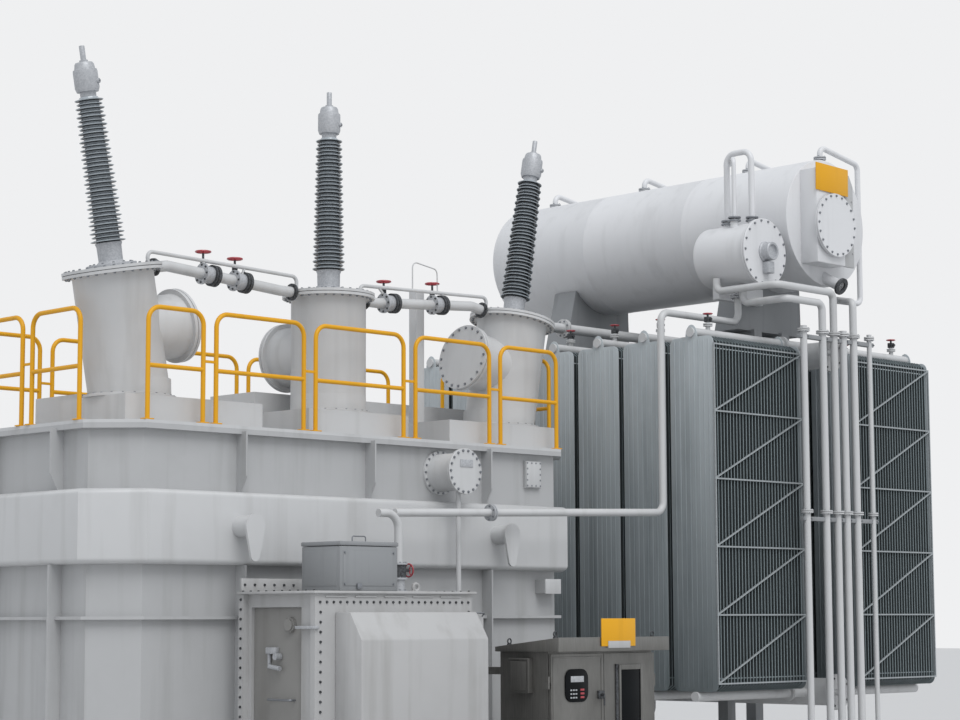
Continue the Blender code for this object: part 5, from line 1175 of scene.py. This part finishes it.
# %% Tank fittings
HAND_HOLE_Y = -1.11
HOLE_LOW, HOLE_HIGH = 2.783, 2.985
tank_bolts = bmesh.new()
for x in (1.903, 2.067):
    bolt_row(tank_bolts, (x, HAND_HOLE_Y, HOLE_LOW), (x, HAND_HOLE_Y, HOLE_HIGH), (0, -1, 0), 5, 0.011)
for z in (HOLE_LOW, HOLE_HIGH):
    bolt_row(tank_bolts, (1.958, HAND_HOLE_Y, z), (2.012, HAND_HOLE_Y, z), (0, -1, 0), 2, 0.011)
for side, letter in SIDES:
    bolt_ring(tank_bolts, (side * TURRET_PITCH, TURRET_Y, PAD_TOP + 0.02), (0, 0, 1), 0.345, 24, 0.010)
piece("tank_bolts", tank_bolts, BOLT)
block_piece("hand_hole_cover", GREY, (((1.892, -1.118, 2.770), (2.078, -1.1103, 2.998), 0.002),
                                      ((2.035, -1.205, 1.825), (2.235, -1.2003, 1.955), 0.002)))
block_piece("post", GREY, (((1.222, -0.40, PAD_TOP), (1.322, -0.30, 4.55), 0.008),
                           ((1.182, -0.44, PAD_TOP), (1.362, -0.26, 3.342), 0.002)), replaces=("cable_post",))
print("tank fittings placed")

# %% [markdown]
# The short drum on the front wall has a lid with a ring of bolts. Its drain pipe
# goes straight down and turns back into the wall lower down.

# %% Front drum
DRUM_X = 0.84
WALL_Y = -1.0803
DRAIN_Y = -1.3203
DRAIN_Z = 1.76
LID_OUT = 0.33
drum_place = facing_front((DRUM_X, WALL_Y, 2.85))
front_drum, drum_bolts = bmesh.new(), bmesh.new()
turn_profile(front_drum, [(0, LID_OUT), (0.192, LID_OUT), (0.195, 0.327), (0.195, 0.319), (0.180, 0.318),
                          (0.180, 0.315), (0.195, 0.314), (0.195, 0.305), (0.162, 0.303), (0.160, 0.295),
                          (0.160, 0.035), (0.165, 0.025), (0.188, 0.023), (0.190, 0.020), (0.190, 0.0),
                          (0, 0.0)], drum_place, 56)
piece("front_drum_shell", front_drum, GREY, replaces=("front_drum",))
bolt_ring(drum_bolts, drum_place @ Vector((0, 0, LID_OUT)), (0, -1, 0), 0.176, 18, 0.012)
bolt_ring(drum_bolts, drum_place @ Vector((0, 0, 0.025)), (0, -1, 0), 0.177, 18, 0.010)
piece("front_drum_bolts", drum_bolts, BOLT)
block_piece("drum_rating_plate", CASTING, (((0.775, -1.416, 2.885), (0.925, -1.4103, 2.950), 0.002),))
tubes("drum_drain", [([(DRUM_X, DRAIN_Y, 2.714), (DRUM_X, DRAIN_Y, DRAIN_Z), (DRUM_X, WALL_Y, DRAIN_Z)],
                      0.022, 0.08)], GREY, resolution=6)
print("front drum with its drain")

# %% [markdown]
# The upright pipes stand in front of the bank and are tied by two bars. Some of them
# bend away at the top towards the conservators. Each has a flanged joint at a bar.

# %% Riser pipes
RISER_Y = -2.17
RISER_FOOT = 0.30
RISERS = ((-0.59, 0.033), (-0.29, 0.036), (-0.11, 0.036), (0.04, 0.036), (0.21, 0.036), (0.47, 0.024))
BAR_HEIGHTS = (2.53, 4.26)
riser_x = [MANIFOLD_X + step for step, radius in RISERS]
riser_ends = [[(x, RISER_Y, 4.36)] for x in riser_x]
for number, end_x, high, back, end_high in ((1, 4.35, 4.60, -1.65, 4.773), (2, 4.20, 4.72, -1.45, 4.845)):
    riser_ends[number] = [(riser_x[number], RISER_Y, high), (end_x, RISER_Y, high), (end_x, back, high),
                          (end_x, back, end_high)]
riser_ends[4] = [(riser_x[4], RISER_Y, 4.66), (5.65, -1.80, 4.74)]
routes = [([(x, RISER_Y, RISER_FOOT)] + ends, radius, 0.07)
          for x, ends, (step, radius) in zip(riser_x, riser_ends, RISERS)]
routes += [([(riser_x[2], RISER_Y, z), (riser_x[2], -2.0603, z)], 0.030, 0) for z in (LOW_Z, TOP_Z)]
tubes("riser_tubes", routes, GREY, replaces=("riser_pipes",), resolution=5)
riser_joints, riser_bolts = bmesh.new(), bmesh.new()
for x, (step, radius) in zip(riser_x, RISERS):
    for z in (RISER_FOOT + 0.02, 2.60, 4.32):
        joint(riser_joints, riser_bolts, (x, RISER_Y, z - 0.02), (x, RISER_Y, z + 0.02), radius + 0.026,
              0.012, 4, 0.007, 0.015)
    for z in BAR_HEIGHTS:
        front_bolt(riser_bolts, (x + 0.055, RISER_Y - 0.012, z), 0.009)
piece("riser_joints", riser_joints, GREY)
piece("riser_bolts", riser_bolts, BOLT)
block_piece("riser_bars", DARK, [((riser_x[0] - 0.06, RISER_Y - 0.012, z - 0.02),
                                  (riser_x[-1] + 0.06, RISER_Y + 0.045, z + 0.02), 0.003)
                                 for z in BAR_HEIGHTS])
print("risers at", [round(x, 2) for x in riser_x])

# %% [markdown]
# The thin feed pipe runs the length of the tank and up to the small conservator. Its
# branch over the cable box has a gate valve whose wheel faces sideways.

# %% Feed pipe
FEED_Y = -1.53
FEED_RADIUS = 0.034
BRANCH_X = -0.05
BRANCH_Z = 2.467
BEHIND_X = 3.27
OVER_Z = 4.43
WHEEL_X = BRANCH_X + 0.115
WHEEL_Z = 2.000


def feed_at(x, z):
    return Vector((x, FEED_Y, z))


main_run = [feed_at(BRANCH_X - 0.04, BRANCH_Z), feed_at(BEHIND_X, 2.57), feed_at(BEHIND_X, OVER_Z),
            feed_at(SMALL_X, OVER_Z), feed_at(SMALL_X, 4.7847)]
branch = [feed_at(-0.27, 2.46), feed_at(BRANCH_X, BRANCH_Z), feed_at(BRANCH_X, 1.8206)]
tubes("feed_tube", [(main_run, FEED_RADIUS, 0.10), (branch, FEED_RADIUS, 0.13)], GREY,
      replaces=("feed_pipe",), resolution=6)
feed_joints, feed_bolts, feed_irons, feed_wheel = (bmesh.new() for number in range(4))
joint(feed_joints, feed_bolts, feed_at(SMALL_X, 4.665), feed_at(SMALL_X, 4.705), 0.072, 0.014, 6, 0.009)
joint(feed_joints, feed_bolts, feed_at(1.00, 2.499), feed_at(1.04, 2.501), 0.072, 0.014, 6, 0.009)
cylinder(feed_joints, feed_at(BRANCH_X, 1.836), feed_at(BRANCH_X, 1.925), 0.052, 24)
for z in (1.822, 1.925, 2.045):
    cylinder(feed_joints, feed_at(BRANCH_X, z), feed_at(BRANCH_X, z + 0.015), 0.074, 28)
    bolt_ring(feed_bolts, feed_at(BRANCH_X, z + 0.015), (0, 0, 1), 0.060, 6, 0.008)
cylinder(feed_irons, feed_at(BRANCH_X, 1.940), feed_at(BRANCH_X, 2.045), 0.064, 28)
cylinder(feed_irons, feed_at(BRANCH_X, WHEEL_Z), feed_at(WHEEL_X, WHEEL_Z), 0.013, 12)
handwheel(feed_wheel, along(feed_at(WHEEL_X, WHEEL_Z), feed_at(1, WHEEL_Z)), 0.052)
piece("feed_joints", feed_joints, CASTING)
piece("feed_bolts", feed_bolts, BOLT)
piece("feed_valve", feed_irons, BLACK)
piece("feed_valve_wheel", feed_wheel, RED)
print("feed pipe along Y", FEED_Y)

# %% [markdown]
# Two large pipes carry the oil from the tank's end to the manifolds. They have a
# flanged joint at the tank and a butterfly valve halfway.

# %% Oil pipes
OIL_Y = 0.30
OIL_RADIUS = 0.05
OIL_START = 2.5803
OIL_UP_X = 3.02
OIL_HIGH_Z, OIL_OVER_Z, OIL_LOW_Z = 2.85, 4.50, 0.62


def oil_at(x, z):
    return Vector((x, OIL_Y, z))


upper_run = [oil_at(OIL_START, OIL_HIGH_Z), oil_at(OIL_UP_X, OIL_HIGH_Z), oil_at(OIL_UP_X, OIL_OVER_Z),
             oil_at(MANIFOLD_X, OIL_OVER_Z), oil_at(MANIFOLD_X, 4.2703)]
lower_run = [oil_at(OIL_START, OIL_LOW_Z), oil_at(MANIFOLD_X, OIL_LOW_Z), oil_at(MANIFOLD_X, 0.7697)]
tubes("oil_tube_top", [(upper_run, OIL_RADIUS, 0.12)], GREY, replaces=("oil_pipe_top",), resolution=6)
tubes("oil_tube_low", [(lower_run, OIL_RADIUS, 0.10)], GREY, replaces=("oil_pipe_bottom",), resolution=6)
oil_joints, oil_bolts, frame_bolts = bmesh.new(), bmesh.new(), bmesh.new()
level_joints = ((2.66, OIL_HIGH_Z), (3.92, OIL_OVER_Z), (2.66, OIL_LOW_Z), (3.12, OIL_LOW_Z))
spans = [(oil_at(x - 0.02, z), oil_at(x + 0.02, z)) for x, z in level_joints]
spans += [(oil_at(OIL_UP_X, z - 0.02), oil_at(OIL_UP_X, z + 0.02)) for z in (3.62, 3.74)]
for start, end in spans:
    joint(oil_joints, oil_bolts, start, end, 0.095, 0.016, 8, 0.010, 0.019)
piece("oil_pipe_joints", oil_joints, GREY)
piece("oil_pipe_bolts", oil_bolts, BOLT)
for x in (MANIFOLD_X - 0.22, MANIFOLD_X + 0.22):
    for y in (-0.87, 0.87):
        for step_x, step_y in ((-0.1, -0.1), (-0.1, 0.1), (0.1, -0.1), (0.1, 0.1)):
            bolt(frame_bolts, Matrix.Translation((x + step_x, y + step_y, 0.03)), 0.018)
piece("frame_foot_bolts", frame_bolts, BOLT)
print("oil pipes to the manifolds")

# %% [markdown]
# The cable box is a bolted steel case. Rows of bolts run along its edges, its front
# cover stands well forward with a sloping top, and its left side is sunk, with its
# shade painted on as a dark sheet, and has a latch, a boss and a wire handle.

# %% Cable box, bolts and sheets
BOX_LEFT, BOX_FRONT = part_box("cable_box")[0].x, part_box("cable_box")[0].y
ROOF_TOP = 1.8206
TO_FRONT, TO_LEFT, TO_SKY = (0, -1, 0), (-1, 0, 0), (0, 0, 1)
FLANGE_Y = -1.285
hood_low, hood_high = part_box("cable_hood")
HOOD_SHOULDER = 1.452
HOOD_SET_BACK = 0.13

box_bolts, hood = bmesh.new(), bmesh.new()
for first, last, outward, count, size in (
        ((-1.43, BOX_FRONT, 1.735), (0.13, BOX_FRONT, 1.735), TO_FRONT, 24, 0.011),
        ((-1.40, BOX_FRONT, 0.335), (0.13, BOX_FRONT, 0.335), TO_FRONT, 22, 0.011),
        ((-1.425, BOX_FRONT, 1.66), (-1.425, BOX_FRONT, 0.40), TO_FRONT, 18, 0.011),
        ((0.135, BOX_FRONT, 1.66), (0.135, BOX_FRONT, 0.40), TO_FRONT, 18, 0.011),
        ((BOX_LEFT, -1.290, 1.76), (BOX_LEFT, -1.290, 0.34), TO_LEFT, 20, 0.011),
        ((-1.47, -2.13, ROOF_TOP), (-1.47, -1.29, ROOF_TOP), TO_SKY, 10, 0.010),
        ((0.16, -2.13, ROOF_TOP), (0.16, -1.29, ROOF_TOP), TO_SKY, 10, 0.010),
        ((-1.45, FLANGE_Y, 1.875), (0.13, FLANGE_Y, 1.875), TO_FRONT, 17, 0.011)):
    bolt_row(box_bolts, first, last, outward, count, size)
piece("cable_box_bolts", box_bolts, BLACK)
slots = [((left, -2.160, 1.772), (left + 0.22, BOX_FRONT - 0.0005, 1.784), 0.002)
         for left in (-1.38, -1.08, -0.78, -0.48, -0.18)]
block_piece("cable_box_back_flange", BOX_GREY,
            [((-1.48, FLANGE_Y, ROOF_TOP), (0.17, -1.262, 1.925), 0.003)] + slots)
hood_outline = ((hood_high.y, hood_low.z), (hood_low.y, hood_low.z), (hood_low.y, HOOD_SHOULDER),
                (hood_low.y + HOOD_SET_BACK, hood_high.z), (hood_high.y, hood_high.z))
prism(hood, [(hood_low.x, y, z) for y, z in hood_outline], (hood_high.x - hood_low.x, 0, 0), 0.010)
piece("hood", hood, BOX_GREY, replaces=("cable_hood",))
block_piece("roof_plate", BOX_GREY, [(*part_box("cable_roof"), 0.004)], replaces=("cable_roof",))
print("cable box with its bolts")

# %% [markdown]
# The box's small fittings are simple blocks and rods. The sunk left side is a dark
# sheet laid on the wall, with the recess's shade painted into its colour, which is
# cheaper than a real recess and looks the same.

# %% Cable box, fittings
BOSS = Vector((-1.41, -1.805, 1.565))
sunk_shade_panel, latch, side_latch, lug = (bmesh.new() for number in range(4))
# painted shade: a dark sheet on the left wall stands in for the recess's shade; the boss in it shares that
# paint
block(sunk_shade_panel, (-1.4135, -1.946, 0.424), (-1.4095, -1.364, 1.696), 0.001)
for near, far, radius in ((0.0, 0.030, 0.058), (0.030, 0.042, 0.044)):
    cylinder(sunk_shade_panel, BOSS - Vector((near, 0, 0)), BOSS - Vector((far, 0, 0)), radius, 32)
bolt_ring(sunk_shade_panel, BOSS - Vector((0.030, 0, 0)), TO_LEFT, 0.050, 6, 0.005)
piece("cable_box_sunk_shade_panel", sunk_shade_panel, SUNK_SHADE)
block(latch, (-1.452, -1.66, 1.345), (-1.413, -1.54, 1.395), 0.006)
block(latch, (-1.440, -1.575, 1.235), (-1.420, -1.550, 1.350), 0.005)
block(latch, (-1.500, -2.17, 1.535), (-1.450, -1.94, 1.558), 0.004)
cylinder(latch, (-1.42, -1.68, 1.325), (-1.475, -1.68, 1.325), 0.026, 16)
cylinder(latch, (-1.455, -1.60, 1.250), (-1.455, -1.72, 1.235), 0.018, 16)
piece("cable_box_latch", latch, CASTING)
tubes("cable_box_handle", [([(-1.41, -1.58, 1.0), (-1.465, -1.58, 1.0), (-1.465, -1.85, 1.0),
                             (-1.41, -1.85, 1.0)], 0.009, 0.02)], BOLT)
block_piece("cable_box_side_plate", BOX_GREY, [((0.1803, -2.120, 0.35), (0.335, -2.095, 1.64), 0.003)])
block(side_latch, (0.205, -2.140, 1.425), (0.245, -2.120, 1.485), 0.004)
cylinder(side_latch, (0.25, -2.135, 1.455), (0.275, -2.135, 1.455), 0.012, 12)
piece("cable_box_side_latch", side_latch, CASTING)
tubes("cable_box_hook", [([(0.18, BOX_FRONT, 1.652), (0.32, BOX_FRONT, 1.652), (0.32, -2.11, 1.62)],
                          0.006, 0.015)], BOLT)
ring_bar(lug, facing_front((0.125, -1.55, 1.862)), 0.030, 0.014)
prism(lug, [(x, -1.56, z) for x, z in ((0.075, ROOF_TOP), (0.175, ROOF_TOP), (0.160, 1.848), (0.090, 1.848))],
      (0, 0.020, 0), 0.002)
piece("cable_box_lug", lug, BOX_GREY)
print("cable box fittings placed")

# %% [markdown]
# The terminal box on the cable box's roof is a small dark case with a lid, a latch
# and a bent wire handle on top.

# %% Terminal box
LID_Z = 2.168
HANDLE_Y = -1.85
HANDLE_LOW, HANDLE_HIGH = 2.199, 2.2506
TERMINAL_FRONT = -2.080
block_piece("terminal_case", DARK, (
    ((-1.165, -2.075, ROOF_TOP), (-0.565, -1.625, 2.165), 0.010),
    ((-1.17, TERMINAL_FRONT, LID_Z), (-0.56, -1.62, 2.2006), 0.008),
    ((-1.135, TERMINAL_FRONT, 1.86), (-0.60, -2.074, 2.13), 0.004),
    ((-1.170, -2.04, 1.86), (-1.164, -1.66, 2.13), 0.004)),
            slot="dark_grey_paint", replaces=("terminal_box",))
tubes("terminal_handle", [([(x, HANDLE_Y, z) for x, z in ((-0.84, HANDLE_LOW), (-0.84, HANDLE_HIGH),
                                                          (-0.70, HANDLE_HIGH), (-0.70, HANDLE_LOW))],
                           0.005, 0.015)], BOLT, slot="dark_grey_paint")
terminal_latch = bmesh.new()
block(terminal_latch, (-1.00, -2.094, 1.835), (-0.955, TERMINAL_FRONT, 1.88), 0.003)
for x in (-1.12, -0.615):
    for z in (1.875, 2.115):
        front_bolt(terminal_latch, (x, TERMINAL_FRONT, z), 0.009)
piece("terminal_latch", terminal_latch, BOLT, slot="dark_grey_paint")
print("terminal box")

# %% [markdown]
# The kiosk is brushed steel. Its sloping roof has a deep front edge and lifting eyes.
# A bare plate stands on the roof's front edge, and a small hood covers the left side's
# opening.

# %% Kiosk case
ON_KIOSK = {"slot": "brushed_steel"}
roof_low, roof_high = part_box("kiosk_roof")
ROOF_THIN = 0.04
ROOF_SLOPE = (roof_high.z - roof_low.z - ROOF_THIN) / (roof_high.y - roof_low.y)
roof, eyes = bmesh.new(), bmesh.new()
prism(roof, [(roof_low.x, y, z) for y, z in (
    (roof_low.y, roof_low.z), (roof_high.y, roof_low.z), (roof_high.y, roof_low.z + ROOF_THIN),
    (roof_low.y, roof_high.z))], (roof_high.x - roof_low.x, 0, 0), 0.006)
piece("kiosk_roof_cover", roof, STEEL, replaces=("kiosk_roof",), **ON_KIOSK)
for x, y in ((0.704, -2.05), (0.665, -2.60), (1.893, -2.56), (1.893, -2.05)):
    z = roof_low.z + ROOF_THIN + (roof_high.y - y) * ROOF_SLOPE
    cylinder(eyes, (x, y, z), (x, y, z + 0.014), 0.020, 16)
    ring_bar(eyes, facing_front((x, y, z + 0.034)), 0.020, 0.006)
piece("kiosk_eyes", eyes, BLACK, **ON_KIOSK)
block_piece("kiosk_side_hood", STEEL, (((0.606, -2.350, 1.275), (0.664, -2.130, 1.290), 0.003),
                                       ((0.606, -2.352, 1.010), (0.664, -2.340, 1.280), 0.003),
                                       ((0.608, -2.330, 1.030), (0.6145, -2.150, 1.265), 0.002)), **ON_KIOSK)
block_piece("kiosk_bare_plate", YELLOW, [((1.115, -2.694, 1.380), (1.530, -2.685, 1.605), 0.003)], **ON_KIOSK)
block_piece("kiosk_plate_foot", TANK_SHADE_GREY, (((1.19, -2.700, 1.366), (1.46, -2.694, 1.423), 0.002),
                                            ((1.20, -2.685, 1.366), (1.45, -2.660, 1.600), 0.002)),
            **ON_KIOSK)
print("kiosk roof slopes by", round(ROOF_SLOPE, 3))

# %% [markdown]
# The left door has a dark window with a rounded top; the right door has a tall framed
# window beside a locking bar. What belongs to a door rides on that door. The folds and
# the window's frame are one thing: four flat bars round a rectangle.

# %% Kiosk doors
ON_LEFT = {"body": "door_left", **ON_KIOSK}
ON_RIGHT = {"body": "door_right", **ON_KIOSK}
DOOR_FACE = -2.5503
WINDOW_LOW, WINDOW_HIGH, WINDOW_ROUND = (0.825, 0.935), (1.095, 1.200), 0.075
KEY_FACE = DOOR_FACE - 0.0115
KEY_DEEP = 0.0018
KEY_PITCH = 0.030


def key(x, z, wide, high):
    corner = Vector((x, KEY_FACE, z))
    return corner, corner + Vector((wide, KEY_DEEP, high)), 0.0005


def door_frame(name, low, high, widths, proud, bevel, where):
    """Four flat bars round a rectangle; the widths are left, right, bottom and top."""
    left, right = low[0] + widths[0], high[0] - widths[1]
    bottom, top = low[1] + widths[2], high[1] - widths[3]
    bars = ((low[0], low[1], left, high[1]), (right, low[1], high[0], high[1]),
            (left, low[1], right, bottom), (left, top, right, high[1]))
    block_piece(name, STEEL, [((x, DOOR_FACE - proud, z), (far_x, DOOR_FACE, far_z), bevel)
                              for x, z, far_x, far_z in bars], **where)


left_window, left_latch, bar = bmesh.new(), bmesh.new(), bmesh.new()
window_corners = rounded_corners(WINDOW_LOW, WINDOW_HIGH, WINDOW_ROUND)
prism(left_window, [(x, DOOR_FACE + 0.0001, z) for corner in window_corners for x, z in corner],
      (0, -0.010, 0), 0.002)
piece("left_door_window", left_window, GLASS, **ON_LEFT)
block_piece("left_door_display", CASTING, [((0.885, -2.5625, 1.095), (1.040, -2.5600, 1.143), 0.001)]
            + [key(0.880 + column * KEY_PITCH, 0.965 + row * KEY_PITCH, 0.020, 0.012)
               for row in range(3) for column in range(3)], **ON_LEFT)
block_piece("left_door_keys", RED, [key(1.000, 0.965 + step * KEY_PITCH, 0.045, 0.016) for step in range(3)],
            **ON_LEFT)
block(left_latch, (1.215, -2.566, 0.955), (1.288, DOOR_FACE, 1.02), 0.003)
cylinder(left_latch, (1.25, -2.566, 0.985), (1.25, -2.590, 0.985), 0.012, 16)
block(left_latch, (1.243, -2.600, 0.90), (1.257, -2.590, 0.995), 0.003)
piece("left_door_latch", left_latch, BLACK, **ON_LEFT)
door_frame("left_door_fold", (0.685, 0.16), (1.275, 1.30), (0.015, 0.015, 0.015, 0.015),
           0.0037, 0.0015, ON_LEFT)
door_frame("right_door_frame", (1.475, 0.62), (1.766, 1.228), (0.025, 0.024, 0.025, 0.043),
           0.0117, 0.003, ON_RIGHT)
block_piece("right_door_glass", GLASS, [((1.498, -2.555, 0.643), (1.744, DOOR_FACE, 1.187), 0.001)],
            **ON_RIGHT)
block(bar, (1.434, -2.562, 0.30), (1.464, DOOR_FACE, 1.232), 0.003)
for z in (0.34, 0.76, 1.19):
    front_bolt(bar, (1.449, -2.562, z), 0.008)
piece("right_door_bar", bar, BLACK, **ON_RIGHT)
print("kiosk dressed")

# %% [markdown]
# At the end the view layer is brought up to date.

# %% Finish
bpy.context.view_layer.update()
